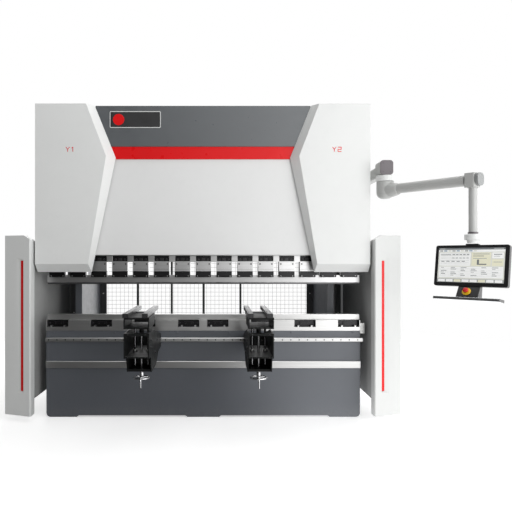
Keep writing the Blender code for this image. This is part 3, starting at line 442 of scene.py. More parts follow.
def relief(b, xs, zs, depth, front, back, mat, inner):
    """A plate whose front carries pockets; cells of the grid lie at 0 or at the pocket depth."""
    nx, nz = len(xs) - 1, len(zs) - 1
    k0, k1 = b.mi(mat), b.mi(inner)
    cache = {}

    def vert(x, y, z):
        key = (round(x, 6), round(y, 6), round(z, 6))
        if key not in cache:
            cache[key] = b.bm.verts.new((x, y, z))
        return cache[key]

    def face(ps, k):
        vs = [vert(*p) for p in ps]
        if len(set(vs)) > 2:
            try:
                b.bm.faces.new(vs).material_index = k
            except ValueError:
                pass

    d = [[depth(i, j) for j in range(nz)] for i in range(nx)]
    for i in range(nx):
        for j in range(nz):
            y = front + d[i][j]
            k = k1 if d[i][j] else k0
            face([(xs[i], y, zs[j]), (xs[i + 1], y, zs[j]), (xs[i + 1], y, zs[j + 1]), (xs[i], y, zs[j + 1])], k)
            if i + 1 < nx and d[i + 1][j] != d[i][j]:
                y2 = front + d[i + 1][j]
                face([(xs[i + 1], y, zs[j]), (xs[i + 1], y2, zs[j]), (xs[i + 1], y2, zs[j + 1]), (xs[i + 1], y, zs[j + 1])], k1)
            if j + 1 < nz and d[i][j + 1] != d[i][j]:
                y2 = front + d[i][j + 1]
                face([(xs[i], y, zs[j + 1]), (xs[i + 1], y, zs[j + 1]), (xs[i + 1], y2, zs[j + 1]), (xs[i], y2, zs[j + 1])], k1)
    for i in range(nx):
        for j, z in ((0, zs[0]), (nz - 1, zs[-1])):
            y = front + d[i][j]
            face([(xs[i], y, z), (xs[i + 1], y, z), (xs[i + 1], back, z), (xs[i], back, z)], k0)
    for j in range(nz):
        for i, x in ((0, xs[0]), (nx - 1, xs[-1])):
            y = front + d[i][j]
            face([(x, y, zs[j]), (x, y, zs[j + 1]), (x, back, zs[j + 1]), (x, back, zs[j])], k0)
    for i in range(nx):
        for j in range(nz):
            face([(xs[i], back, zs[j]), (xs[i + 1], back, zs[j]), (xs[i + 1], back, zs[j + 1]), (xs[i], back, zs[j + 1])], k0)


def rrect(x0, x1, y0, y1, r, n=5):
    pts = []
    for cx, cy, a0 in ((x1 - r, y0 + r, -90), (x1 - r, y1 - r, 0), (x0 + r, y1 - r, 90), (x0 + r, y0 + r, 180)):
        pts += [(cx + r * math.cos(math.radians(a0 + 90 * k / n)), cy + r * math.sin(math.radians(a0 + 90 * k / n)))
                for k in range(n + 1)]
    return pts


def bend(points, radius, n=6):
    """A pipe's route: straight runs with rounded corners."""
    pts = [Vector(p) for p in points]
    out = [pts[0]]
    for a, b, c in zip(pts, pts[1:], pts[2:]):
        u, v = (a - b).normalized(), (c - b).normalized()
        for k in range(n + 1):
            t = k / n
            out.append((b + u * radius) * (1 - t) ** 2 + b * 2 * t * (1 - t) + (b + v * radius) * t * t)
    out.append(pts[-1])
    return out


# ================================================================ frame
for s, sd in ((-1, "left"), (1, "right")):
    refine(sd + "_side_frame", M["charcoal"], 0.003)
    refine(sd + "_cylinder_cover", M["white"], 0.0022)
    refine(sd + "_guard_post", M["dark"], 0.0015)
refine("table_plate", M["charcoal"], 0.004)
refine("rear_cross_tie", M["charcoal"], 0.003)


b = B("table_beam_fine")
xs, deep = [-1.51], []
for cx in (-1.40, -0.98, -0.563, -0.141, 0.141, 0.563, 0.98, 1.40):
    for lo_, hi_, v0 in ((-0.1025, -0.072, 1), (-0.072, -0.056, 2), (-0.056, 0.056, 1), (0.056, 0.072, 2), (0.072, 0.1025, 1)):
        a_, c_ = round(cx + lo_, 5), round(cx + hi_, 5)
        if a_ > xs[-1] + 1e-6:
            xs.append(a_)
            deep.append(0)
        xs.append(c_)
        deep.append(v0)
xs.append(1.51)
deep.append(0)
# Pocket floors and walls of the table beam take the near-black finish: painted shade in the recesses
relief(b, xs, [0.8303, 0.866, 0.881, 0.932], lambda i, j: 0.05 if deep[i] == 1 and j > 0 or deep[i] == 2 and j > 1 else 0.0,
       -0.10, 0.05, "steel", "pocket")
b.done("frame", 0.0012, weld=1e-6, replaces=("table_beam",))
refine("die_rail", M["steel"], 0.0015)
refine("crowning_end_block", M["zinc"], 0.002)
refine("upper_arm_rail", M["steel"], 0.001)
refine("lower_arm_rail", M["steel"], 0.001)
refine("top_fascia", M["fascia"], 0.002)
refine("red_band", M["red"], 0.0015)
refine("hydraulic_tank", M["charcoal"], 0.003)
refine("electrical_cabinet", M["cab"], 0.003)
refine("pendant_bracket", M["cast"], 0.003)

# screws and fittings of the frame, each set as one piece
FLUSH = [(0, -0.001), (1, -0.001), (1, 0.00018), (0.94, 0.00024), (0.60, 0.00024), (0.55, 0.00007), (0, 0.00007)]


def flush(b, at, axis, r, mat="bolt"):
    """Countersunk socket screw, level with its face."""
    b.lathe([(u * r, h) for u, h in FLUSH], at, axis, mat, 20)


b = B("arm_rail_screws")
k = -1.48
while k < 1.49:
    flush(b, (k, -0.1250, 0.746), (0, -1, 0), 0.0065)
    k += 0.08
b.done("frame", 0)

b = B("table_screws")
for x in (-1.40, -0.98, -0.563, -0.141, 0.141, 0.563, 0.98, 1.40):
    for q in (-1, 1):
        b.socket((x + q * 0.088, -0.0502, 0.900), (0, -1, 0), 0.008, 0.006, "bolt")
    b.box(x - 0.045, x + 0.045, -0.066, -0.0505, 0.886, 0.912, "pocket")
    for q in (-1, 1):
        b.socket((x + q * 0.028, -0.066, 0.899), (0, -1, 0), 0.006, 0.003, "bolt")
b.done("frame", 0.0006)

b = B("table_plate_fittings")
for x in (-1.44, -0.85, -0.25, 0.25, 0.85, 1.44):
    b.lathe([(0, 0), (0.0100, 0), (0.0115, 0.002), (0.0115, 0.0025), (0.0085, 0.0038), (0, 0.0042)], (x, -0.0999, 0.8145), (0, -1, 0), "charcoal", 24)
for x in (-1.46, -0.08, 0.08, 1.46):
    b.hexbolt((x, 0.0499, 0.05), (0, 1, 0), 0.014, 0.014)
for x in (-1.1, -0.4, 0.4, 1.1):
    for z in (0.2, 0.45):
        b.hexbolt((x, 0.0499, z), (0, 1, 0), 0.012, 0.012)
b.done("frame", 0.0006)

# side frames: bolted pads, lifting eyes, levelling feet
for s, sd in ((-1, "left"), (1, "right")):
    b = B(sd + "_frame_fittings")
    X = s * 1.3601
    ax = (s, 0, 0)
    for y, z in ((0.14, 0.12), (0.14, 0.40), (0.14, 0.70), (0.36, 0.12), (0.36, 0.70), (0.62, 0.70), (0.62, 0.12)):
        b.hexbolt((X, y, z), ax, 0.015, 0.015)
    for y, z in ((0.48, 2.42), (0.70, 2.42), (0.92, 2.42), (0.48, 2.2), (0.92, 2.2), (1.3, 0.2), (1.3, 0.46), (1.43, 0.2), (1.43, 0.46)):
        if s == 1 and y == 0.48 and z == 2.2:
            continue
        b.hexbolt((X, y, z), ax, 0.013, 0.013)
    for y in (0.09, 1.44):
        b.prism(rrect(y - 0.045, y + 0.045, 0.0, 0.018, 0.004, 2), "X", s * 1.3603, s * 1.44, "charcoal")
        b.lathe([(0, 0.018), (0.02, 0.018), (0.02, 0.034), (0.017, 0.037), (0, 0.037)], (s * 1.40, y, 0), (0, 0, 1), "zinc", 6)
        b.lathe([(0, 0.03), (0.009, 0.03), (0.009, 0.075), (0.007, 0.078), (0, 0.078)], (s * 1.40, y, 0), (0, 0, 1), "zinc", 20)
    ring = [(1.10 + 0.032 * math.cos(math.radians(a)), 2.60 + 0.032 * math.sin(math.radians(a))) for a in range(-50, 231, 14)]
    b.tube([(s * 1.325, y, z) for y, z in ring], 0.008, "zinc", 14)
    b.lathe([(0, 0), (0.026, 0), (0.026, 0.008), (0.015, 0.022), (0.013, 0.026), (0, 0.026)], (s * 1.325, 1.10, 2.5502), (0, 0, 1), "zinc", 24)
    b.done("frame", 0.0008)

for s, sd in ((-1, "left"), (1, "right")):
    b = B(sd + "_guard_post_seal")
    b.box(s * 1.552, s * 1.638, 1.0425, 1.0465, 0.085, 1.715, "dark")
    for z in (0.16, 0.52, 0.90, 1.28, 1.64):
        b.socket((s * 1.530, 0.9819, z), (0, -1, 0), 0.006, 0.004, "zinc")
    b.done("frame", 0.001)

# a covered opening with air slots on the side of each frame
for s, sd in ((-1, "left"), (1, "right")):
    b = B(sd + "_side_cover")
    b.prism(rrect(0.56, 0.98, 0.98, 1.58, 0.02), "X", s * 1.3603, s * 1.3643, "charcoal")
    for i in range(9):
        z = 1.08 + i * 0.05
        b.prism([(0.66, z), (0.88, z), (0.88, z + 0.014), (0.66, z + 0.020)], "X", s * 1.3640, s * 1.3725, "charcoal")
    for y, z in ((0.585, 1.005), (0.955, 1.005), (0.585, 1.555), (0.955, 1.555), (0.585, 1.28), (0.955, 1.28)):
        b.socket((s * 1.3643, y, z), (s, 0, 0), 0.007, 0.004)
    b.done("frame", 0.0012)

# cover and fascia fixings
b = B("cover_screws")
for s in (-1, 1):
    for z in (1.62, 1.95, 2.28, 2.61, 2.88):
        for y in (-0.02, 0.36):
            b.socket((s * 1.5679, y, z), (s, 0, 0), 0.0065, 0.003, "zinc")
    for y in (-0.10, 0.12, 0.36):
        b.socket((s * 1.54, y, 2.9749), (0, 0, 1), 0.0065, 0.003, "zinc")
        b.socket((s * 1.06, y, 2.9749), (0, 0, 1), 0.0065, 0.003, "zinc")
for x in (-0.9, -0.45, 0, 0.45, 0.9):
    for y in (-0.12, 0.38):
        b.socket((x, y, 2.9749), (0, 0, 1), 0.0065, 0.003, "zinc")
ob = b.done("frame", 0)

# blank badge and axis marks
b = B("blank_badge")
b.prism(rrect(-0.884, -0.40, 2.765, 2.922, 0.012), "Y", -0.1745, -0.1716, "black")
b.done("frame", 0.0006)
b = B("badge_rim")
o, i_ = rrect(-0.884, -0.40, 2.765, 2.922, 0.012), rrect(-0.878, -0.406, 2.771, 2.916, 0.008)
n_ = len(o)
vs = [(x, y_, z) for y_ in (-0.1752, -0.1738) for x, z in o] + [(x, y_, z) for y_ in (-0.1752, -0.1738) for x, z in i_]
fs = []
for q in range(n_):
    r_ = (q + 1) % n_
    fs += [(q, r_, 2 * n_ + r_, 2 * n_ + q), (n_ + q, 3 * n_ + q, 3 * n_ + r_, n_ + r_),
           (q, n_ + q, n_ + r_, r_), (2 * n_ + q, 2 * n_ + r_, 3 * n_ + r_, 3 * n_ + q)]
b.add(vs, fs, "pale")
b.done("frame", 0)
b = B("badge_disc")
b.lathe([(0, -0.001), (0.052, -0.001), (0.054, 0.0006), (0.053, 0.0016), (0, 0.0018)], (-0.80, -0.1742, 2.8435), (0, -1, 0), "red", 48)
b.done("frame", 0)


def stroke(b, p, q, w, y0, y1, mat):
    p, q = Vector(p), Vector(q)
    d = (q - p).normalized()
    n = Vector((-d.y, d.x)) * w / 2
    e = d * w * 0.35
    b.prism([tuple(p - e + n), tuple(p - e - n), tuple(q + e - n), tuple(q + e + n)], "Y", y0, y1, mat)


b = B("axis_marks")
for x0, digit in ((-1.278, 1), (1.215, 2)):
    y1_, y0_ = -0.2496, -0.2512
    z0, h, w = 2.526, 0.040, 0.032
    stroke(b, (x0, z0 + h), (x0 + w / 2, z0 + h * 0.5), 0.006, y0_, y1_, "red")
    stroke(b, (x0 + w, z0 + h), (x0 + w / 2, z0 + h * 0.5), 0.006, y0_ - 0.0001, y1_, "red")
    stroke(b, (x0 + w / 2, z0 + h * 0.5), (x0 + w / 2, z0), 0.006, y0_ - 0.0002, y1_, "red")
    x1_ = x0 + w + 0.018
    if digit == 1:
        stroke(b, (x1_ + 0.004, z0 + h * 0.82), (x1_ + 0.014, z0 + h), 0.006, y0_, y1_, "red")
        stroke(b, (x1_ + 0.014, z0 + h), (x1_ + 0.014, z0), 0.006, y0_ - 0.0001, y1_, "red")
    else:
        for pa, pb in (((0, 1), (1, 1)), ((1, 1), (1, 0.5)), ((1, 0.5), (0, 0.5)), ((0, 0.5), (0, 0)), ((0, 0), (1, 0))):
            stroke(b, (x1_ + pa[0] * 0.03, z0 + pa[1] * h), (x1_ + pb[0] * 0.03, z0 + pb[1] * h), 0.006,
                   y0_ - 0.0001 * (pa[0] + 2 * pb[0]), y1_, "red")
b.done("frame", 0)

# ================================================================ hydraulics
for s, sd in ((-1, "left"), (1, "right")):
    refine(sd + "_cylinder", M["steelz"], 0.0015)
    refine(sd + "_valve_block", M["steely"], 0.002)
    refine(sd + "_piston_rod", M["chrome"], 0.001)
    b = B(sd + "_valve_fittings")
    cx = s * 1.32
    for a in range(0, 360, 45):
        c, t = math.cos(math.radians(a)), math.sin(math.radians(a))
        if t > 0.6:
            continue
        b.hexbolt((cx + 0.109 * c, -0.035 + 0.109 * t, 2.7499), (0, 0, 1), 0.008, 0.008)
    for q in (-0.04, 0.04):
        b.lathe([(0, 0), (0.020, 0), (0.021, 0.004), (0.021, 0.026), (0.018, 0.030), (0, 0.030)], (cx + q, -0.1399, 2.81), (0, -1, 0), "black", 28)
        b.lathe([(0, 0), (0.009, 0), (0.009, 0.010), (0.007, 0.012), (0, 0.012)], (cx + q, -0.1698, 2.81), (0, -1, 0), "zinc", 20)
        b.box(cx + q - 0.018, cx + q + 0.018, -0.085, -0.045, 2.8602, 2.892, "black")
    b.lathe([(0, 0), (0.012, 0), (0.014, 0.002), (0.014, 0.012), (0, 0.014)], (cx, -0.02, 2.93), (0, 0, 1), "black", 24)
    for q in (-0.07, 0.07):
        b.socket((cx + q, 0.055, 2.86), (0, 0, 1), 0.008, 0.007)
    b.done("frame", 0.0008)
    b = B(sd + "_pressure_pipe")
    route = [(s * 1.23, 0.02, 2.80), (s * 1.17, 0.02, 2.80), (s * 1.17, 0.55, 2.80), (s * 1.17, 0.55, 2.56), (s * 1.17, 0.72, 2.56), (s * 0.62, 0.72, 2.56)]
    b.tube(bend(route, 0.045), 0.011, "zinc", 14)
    route = [(s * 1.23, -0.03, 2.835), (s * 1.13, -0.03, 2.835), (s * 1.13, 0.60, 2.835), (s * 1.13, 0.60, 2.60), (s * 1.13, 0.60, 2.535)]
    b.tube(bend(route[:4], 0.045) + [Vector(route[4])], 0.009, "zinc", 14)
    for p_, d_ in (((s * 1.2299, 0.02, 2.80), (-s, 0, 0)), ((s * 1.2299, -0.03, 2.835), (-s, 0, 0))):
        b.lathe([(0, 0), (0.018, 0), (0.018, 0.018), (0.0155, 0.021), (0, 0.021)], p_, d_, "zinc", 6)
        b.lathe([(0, 0.018), (0.0145, 0.018), (0.0145, 0.034), (0.0125, 0.037), (0, 0.037)], p_, d_, "brass", 24)
    b.lathe([(0, 0), (0.020, 0), (0.020, 0.018), (0.017, 0.021), (0, 0.021)], (s * 1.13, 0.60, 2.5302), (0, 0, 1), "zinc", 6)
    b.done("frame", 0.0006)

b = B("pump_manifold")
b.prism(rrect(-0.12, 0.17, 0.655, 0.805, 0.01), "Z", 2.5302, 2.605, "steel")
for x in (-0.08, 0.0, 0.08):
    b.lathe([(0, 0), (0.022, 0), (0.022, 0.05), (0.019, 0.055), (0, 0.055)], (x, 0.73, 2.605), (0, 0, 1), "bolt", 28)
    b.lathe([(0, 0.05), (0.010, 0.05), (0.010, 0.07), (0.008, 0.073), (0, 0.073)], (x, 0.73, 2.605), (0, 0, 1), "zinc", 6)
for x, y in ((-0.105, 0.67), (0.15, 0.67), (-0.105, 0.79), (0.15, 0.79)):
    b.socket((x, y, 2.605), (0, 0, 1), 0.007, 0.007)
b.done("frame", 0.0012)
b = B("manifold_pipes")
for s in (-1, 1):
    route = [(-0.63, 0.72, 2.56), (-0.121, 0.72, 2.56)]
    if s > 0:
        route = bend([(0.63, 0.72, 2.56), (0.58, 0.72, 2.56), (0.58, 0.92, 2.56), (0.10, 0.92, 2.56), (0.10, 0.806, 2.56)], 0.03)
    b.tube(route, 0.0105, "zinc", 14)
    b.lathe([(0, 0), (0.018, 0), (0.018, 0.02), (0, 0.02)], (s * 0.635, 0.72, 2.56), (-s, 0, 0), "zinc", 6)
b.done("frame", 0)

refine("pump_motor", M["motor"], 0.002)
b = B("motor_fins")
for a in range(0, 360, 9):
    if a < 45 or a > 315:
        continue
    mx = Matrix.Translation((0.35, 0.73, 0)) @ Matrix.Rotation(math.radians(a), 4, "Z")
    b.box(0.1195, 0.1385, -0.0022, 0.0022, 2.60, 2.80, "motor", mx)
b.lathe([(0.121, 2.815), (0.134, 2.815), (0.134, 2.885), (0.120, 2.905), (0.085, 2.905), (0.085, 2.901), (0.118, 2.901), (0.121, 2.885)],
        (0.35, 0.73, 0), (0, 0, 1), "motor", 48)
for r_ in (0.02, 0.04, 0.06, 0.08):
    ring = [(0.35 + r_ * math.cos(math.radians(a)), 0.73 + r_ * math.sin(math.radians(a)), 2.9045) for a in range(0, 361, 12)]
    b.tube(ring, 0.0022, "bolt", 8)
for a in (0, 60, 120):
    c, t = math.cos(math.radians(a)), math.sin(math.radians(a))
    b.tube([(0.35 - 0.1 * c, 0.73 - 0.1 * t, 2.9035), (0.35 + 0.1 * c, 0.73 + 0.1 * t, 2.9035)], 0.0022, "bolt", 8)
for a in range(22, 360, 45):
    c, t = math.cos(math.radians(a)), math.sin(math.radians(a))
    b.hexbolt((0.35 + 0.135 * c, 0.73 + 0.135 * t, 2.5549), (0, 0, 1), 0.008, 0.009)
b.box(0.519, 0.524, 0.676, 0.784, 2.646, 2.754, "motor")
for y in (0.684, 0.776):
    for z in (2.654, 2.746):
        b.socket((0.524, y, z), (1, 0, 0), 0.004, 0.003)
b.done("frame", 0.0006)

b = B("tank_fittings")
x = -1.2
while x < 1.21:
    for y in (0.415, 1.045):
        b.hexbolt((x, y, 2.53), (0, 0, 1), 0.008, 0.008)
    x += 0.2
b.lathe([(0, 0), (0.052, 0), (0.052, 0.012), (0.046, 0.014), (0.046, 0.045), (0.050, 0.048), (0.050, 0.085), (0.042, 0.095), (0, 0.098)],
        (-0.60, 0.73, 2.5303), (0, 0, 1), "black", 36)
b.socket((-0.6, 0.73, 2.628), (0, 0, 1), 0.012, 0.003)
b.prism(rrect(-0.95, -0.90, 2.17, 2.43, 0.024), "Y", 1.1002, 1.112, "black")
b.prism(rrect(-0.938, -0.912, 2.195, 2.405, 0.012), "Y", 1.111, 1.116, "yellow")
for z in (2.183, 2.417):
    b.socket((-0.925, 1.112, z), (0, 1, 0), 0.007, 0.004)
b.lathe([(0, 0), (0.05, 0), (0.05, 0.01), (0.045, 0.012), (0.045, 0.10), (0.05, 0.102), (0.05, 0.13), (0.04, 0.14), (0, 0.14)], (-0.95, 0.73, 2.5303), (0, 0, 1), "bolt", 36)
for x in (-1.1, 1.1):
    b.lathe([(0, 0), (0.02, 0), (0.02, 0.012), (0.014, 0.016), (0, 0.016)], (x, 0.3599, 2.14), (0, -1, 0), "zinc", 6)
b.done("frame", 0.0008)

# ================================================================ ram
refine("ram_plate", M["panelwhite"], 0.003)
refine("ram_panel", M["panelwhite"], 0.003)
refine("punch_bar", [M["tool"], M["edge"]], 0.0006, pick=lambda c, n: 1 if c.z < 1.2915 else 0)

N, PITCH, W = 15, 0.2027, 0.152
cs = [(k - (N - 1) / 2) * PITCH for k in range(N)]
b = B("clamp_bar")
xs = [-1.525]
for c in cs:
    xs += [c - 0.0725, c + 0.0725]
xs.append(1.525)
# Pocket floors and walls of the clamp bar take the near-black finish: painted shade in the recesses
relief(b, xs, [1.4915, 1.4985, 1.5525, 1.5585], lambda i, j: 0.016 if (i % 2 == 1 and j == 1) else 0.0, -0.040, 0.040, "block", "pocket")
b.done("ram", 0.001, weld=1e-5, replaces=("punch_clamps",))
b = B("clamp_levers")
for c in cs:
    b.prism([(c - 0.068, 1.532), (c + 0.068, 1.532), (c + 0.068, 1.5515), (c - 0.068, 1.5515)], "Y", -0.0385, -0.0245, "pocket")
    for q in (-0.046, 0.046):
        b.lathe([(0, 0), (0.0115, 0), (0.0115, 0.010), (0.0095, 0.012), (0.0055, 0.012), (0.005, 0.006), (0, 0.006)], (c + q, -0.0245, 1.5165), (0, -1, 0), "bolt", 20)
    b.box(c - 0.016, c + 0.016, -0.037, -0.0242, 1.503, 1.530, "bolt")
b.done("ram", 0.0008)
b = B("clamp_blocks")
for c in cs:
    x0, x1 = c - W / 2, c + W / 2
    b.prism([(-0.050, 1.4912), (-0.050, 1.401), (0.045, 1.401), (0.045, 1.4912)], "X", x0, x1, "block")
    b.prism([(-0.0134, 1.401), (-0.0134, 1.3637), (0.045, 1.3637), (0.045, 1.401)], "X", x0 + 0.0001, x1 - 0.0001, "block")
b.done("ram", 0.0015)
b = B("clamp_lips")
for c in cs:
    x0, x1 = c - W / 2 + 0.001, c + W / 2 - 0.001
    b.prism([(-0.056, 1.397), (-0.056, 1.349), (-0.051, 1.344), (-0.0137, 1.344), (-0.0137, 1.4008), (-0.0505, 1.4008)], "X", x0, x1, "pocket")
b.done("ram", 0.001)
b = B("clamp_screws")
for c in cs:
    for q in (-0.058, 0.058):
        b.socket((c + q, -0.0499, 1.472), (0, -1, 0), 0.0075, 0.005)
    for q in (-0.030, 0.030):
        b.socket((c + q * 1.9, -0.0559, 1.356), (0, -1, 0), 0.0045, 0.003, "zinc")
    b.box(c - 0.07, c + 0.07, -0.0508, -0.0495, 1.420, 1.4215, "pocket")
    for q in (-0.05, 0.05):
        b.hexbolt((c + q, 0.0449, 1.44), (0, 1, 0), 0.007, 0.007)
b.done("ram", 0)
b = B("ram_rear_ribs")
for x in (-0.85, -0.28, 0.28, 0.85):
    for z in (1.75, 2.1, 2.5):
        b.hexbolt((x, 0.0299, z), (0, 1, 0), 0.012, 0.012)
b.done("ram", 0.0008)

# ================================================================ guards
for s, sd in ((-1, "left"), (1, "right")):
    # Right guard cover takes the paint copy darkened as painted shade; the left takes the copy brightened as painted
    # light
    refine(sd + "_guard_cover", M["guard" if s == 1 else "guard_painted_light_left"], 0.0018, angle=32)
    refine(sd + "_guard_wall", M["wall"], 0.0012)
    gu = Vector((0.272, 0.100)).normalized()

    def on_face(x, depth, z, s=s, gu=gu):
        t = (x - 1.588) / gu.x
        return (s * (1.588 + gu.x * t - gu.y * depth), -0.320 + gu.y * t + gu.x * depth, z)

    b = B(sd + "_guard_inlay_fine")
    z0_, z1_ = 0.2925, 1.5045
    vs = [on_face(x, dp, z) for z in (z0_, z1_) for x, dp in ((1.6655, 0.0193), (1.6910, 0.0193), (1.6965, 0.0110), (1.6655, 0.0110))]
    b.add(vs, [(0, 1, 2, 3), (7, 6, 5, 4), (0, 4, 5, 1), (1, 5, 6, 2), (2, 6, 7, 3), (3, 7, 4, 0)], "red")
    b.done(sd + "_guard", 0.0008, replaces=(sd + "_guard_inlay",))
    b = B(sd + "_guard_fittings")
    for z in (0.26, 0.95, 1.64):
        for y in (-0.13, 0.1, 0.35, 0.6, 0.85):
            b.socket((s * 1.610, y, z), (s, 0, 0), 0.006, 0.003, "zinc")
    b.prism(rrect(0.70, 0.735, 1.00, 1.16, 0.008), "X", s * 1.5941, s * 1.600, "black")
    b.tube(bend([(s * 1.5995, 0.7175, 1.02), (s * 1.632, 0.7175, 1.02), (s * 1.632, 0.7175, 1.14), (s * 1.5995, 0.7175, 1.14)], 0.014), 0.006, "black", 14)
    b.box(s * 1.589, s * 1.594, -0.19, 0.985, 0.206, 0.2149, "rubber")
    b.done("%s_guard" % sd, 0.0006)

# ================================================================ support arms
for sd, xc in (("left", -0.507), ("right", 0.491)):
    slide, lift, whl = sd + "_arm", sd + "_arm_top", sd + "_wheel"
    refine(sd + "_arm_carriage", M["arm"], 0.0015)
    refine(sd + "_arm_frame", M["arm"], 0.0015)
    refine(sd + "_arm_bars", M["armbar"], 0.0015)
    b = B(sd + "_arm_screws")
    for s in (-1, 1):
        X = xc + s * 0.1025
        for y, z in ((-0.20, 0.727), (-0.60, 0.711), (-0.45, 0.80), (-0.90, 0.80), (-0.90, 0.86)):
            b.hexbolt((X, y, z), (s, 0, 0), 0.010, 0.009, "bolt")
        for y, z in ((-0.14, 0.755), (-0.14, 0.785)):
            b.socket((X, y - 0.02, z), (s, 0, 0), 0.006, 0.005)
    for dx in (-0.07, 0.07):
        b.socket((xc + dx, -0.1499, 0.745), (0, -1, 0), 0.008, 0.008)
        b.socket((xc + dx, -0.9949, 0.915), (0, -1, 0), 0.005, 0.004)
        b.socket((xc + dx, -0.9949, 0.731), (0, -1, 0), 0.004, 0.003)
    b.done(slide, 0)
    b = B(sd + "_arm_rods")
    for dx in (-0.055, 0.055):
        b.lathe([(0, 0.6199), (0.0103, 0.6199), (0.0103, 0.9615), (0, 0.9615)], (xc + dx, -0.70, 0), (0, 0, 1), "rod", 32)
        b.lathe([(0.0125, 0.7372), (0.0195, 0.7372), (0.0195, 0.752), (0.018, 0.754), (0.0125, 0.754)], (xc + dx, -0.70, 0), (0, 0, 1), "zinc", 32)
    b.done(lift, 0)
    # The thin near-black strips along each slot are painted shade standing for the slot openings
    b = B(sd + "_arm_slots")
    for x0, x1 in ((xc - 0.108, xc - 0.063), (xc + 0.048, xc + 0.093)):
        m_ = (x0 + x1) / 2
        b.box(m_ - 0.004, m_ + 0.004, -1.015, -0.255, 1.0855, 1.0863, "pocket")
        for y in (-0.95, -0.80, -0.45, -0.30):
            b.socket((m_ + 0.013, y, 1.0855), (0, 0, 1), 0.004, 0.001)
        b.box(x0 - 0.0005, x1 + 0.0005, -1.0205, -1.006, 1.0535, 1.0865, "black")
        b.socket((m_, -1.0204, 1.069), (0, -1, 0), 0.005, 0.002)
        b.box(x0 - 0.001, x0 + 0.0004, -1.00, -0.26, 1.064, 1.074, "pocket")
        b.box(x1 - 0.0004, x1 + 0.001, -1.00, -0.26, 1.064, 1.074, "pocket")
    b.done(lift, 0.0004)
    # handwheel: polished rim, three spokes, hub, screw and turning handle
    b = B(sd + "_handwheel_fine")
    b.lathe([(0.0680 + 0.0070 * math.cos(math.radians(a)), 0.510 + 0.0070 * math.sin(math.radians(a))) for a in range(0, 360, 24)],
            (xc, -0.70, 0), (0, 0, 1), "wheel", 64)
    b.lathe([(0, 0.498), (0.014, 0.498), (0.016, 0.500), (0.0185, 0.52), (0.0185, 0.555), (0.0165, 0.558), (0.009, 0.560), (0.009, 0.945), (0, 0.945)],
            (xc, -0.70, 0), (0, 0, 1), "wheel", 40)
    for a in (30, 150, 270):
        c, t = math.cos(math.radians(a)), math.sin(math.radians(a))
        b.tube([(xc + 0.010 * c, -0.70 + 0.010 * t, 0.514), (xc + 0.0665 * c, -0.70 + 0.0665 * t, 0.510)], 0.0045, "wheel", 16, r2=0.0036)
    b.lathe([(0, -0.012), (0.0045, -0.012), (0.0045, 0.006), (0.0060, 0.008), (0.0068, 0.02), (0.0062, 0.05), (0.0070, 0.070), (0.0062, 0.078), (0.004, 0.0805), (0, 0.0810)],
            (xc, -0.768, 0.510), (0, 0, -1), "wheel", 32)
    z = 0.60
    while z < 0.93:
        b.lathe([(0.0088, z - 0.0015), (0.0094, z), (0.0088, z + 0.0015)], (xc, -0.70, 0), (0, 0, 1), "zinc", 24)
        z += 0.006
    b.done(whl, 0, replaces=(sd + "_handwheel",))

# ================================================================ back gauge
refine("gauge_rails", M["steel"], 0.0015)
refine("gauge_carriage", M["dark"], 0.0015)
refine("gauge_beam", M["alux"], 0.0012)
for sd, s in (("left", -1), ("right", 1)):
    refine(sd + "_gauge_finger", M["steely"], 0.0012)
    b = B(sd + "_finger_fittings")
    for y in (0.52, 0.56):
        for q in (-0.016, 0.016):
            b.socket((s * 0.35 + q, y, 0.8965 if y < 0.54 else 0.8935), (0, 0, 1), 0.005, 0.004)
    b.box(s * 0.35 - 0.022, s * 0.35 + 0.022, 0.2388, 0.2402, 0.873, 0.887, "tool")
    b.lathe([(0, 0), (0.011, 0), (0.012, 0.002), (0.012, 0.016), (0.010, 0.018), (0, 0.018)], (s * 0.35 + s * 0.03, 0.55, 0.87), (s, 0, 0), "black", 20)
    b.done(sd + "_finger", 0.0005)
# The thin near-black strips on the beam face are painted shade standing for its slot openings
b = B("gauge_beam_slots")
for z in (0.797, 0.828):
    b.box(-1.095, 1.095, 0.5045, 0.5055, z - 0.004, z + 0.004, "pocket")
    b.box(-1.095, 1.095, 0.5745, 0.5755, z - 0.004, z + 0.004, "pocket")
b.box(-1.09, 1.09, 0.512, 0.527, 0.8446, 0.8448, "zinc")
for s in (-1, 1):
    b.box(s * 1.0998, s * 1.1035, 0.504, 0.576, 0.7795, 0.846, "black")
b.done("gauge_cross", 0.0004)
b = B("gauge_linear_guides")
for s in (-1, 1):
    for q in (-0.022, 0.022):
        b.box(s * 0.93 + q - 0.004, s * 0.93 + q + 0.004, 0.125, 1.03, 0.6990, 0.70016, "tool")
    for y in (0.14, 0.24, 0.34, 0.74, 0.84, 0.94):
        flush(b, (s * 0.93, y, 0.7000), (0, 0, 1), 0.006)
    for y in (0.15, 0.35, 0.55, 0.75, 0.95):
        b.hexbolt((s * 0.9601, y, 0.66), (s, 0, 0), 0.008, 0.008)
b.done("frame", 0.0006)
b = B("gauge_carriage_fittings")
for s in (-1, 1):
    for q in (-0.03, 0.03):
        for y in (0.475, 0.605):
            b.socket((s * 0.93 + q, y, 0.7349), (0, 0, 1), 0.006, 0.006)
    b.lathe([(0.0158, 0.7799), (0.028, 0.7799), (0.028, 0.7801), (0.0158, 0.7801)], (s * 0.75, 0.54, 0), (0, 0, 1), "zinc", 32)
b.prism(rrect(-0.10, 0.10, 0.585, 0.66, 0.008), "Z", 0.735, 0.775, "motor")
b.done("gauge", 0.0008)

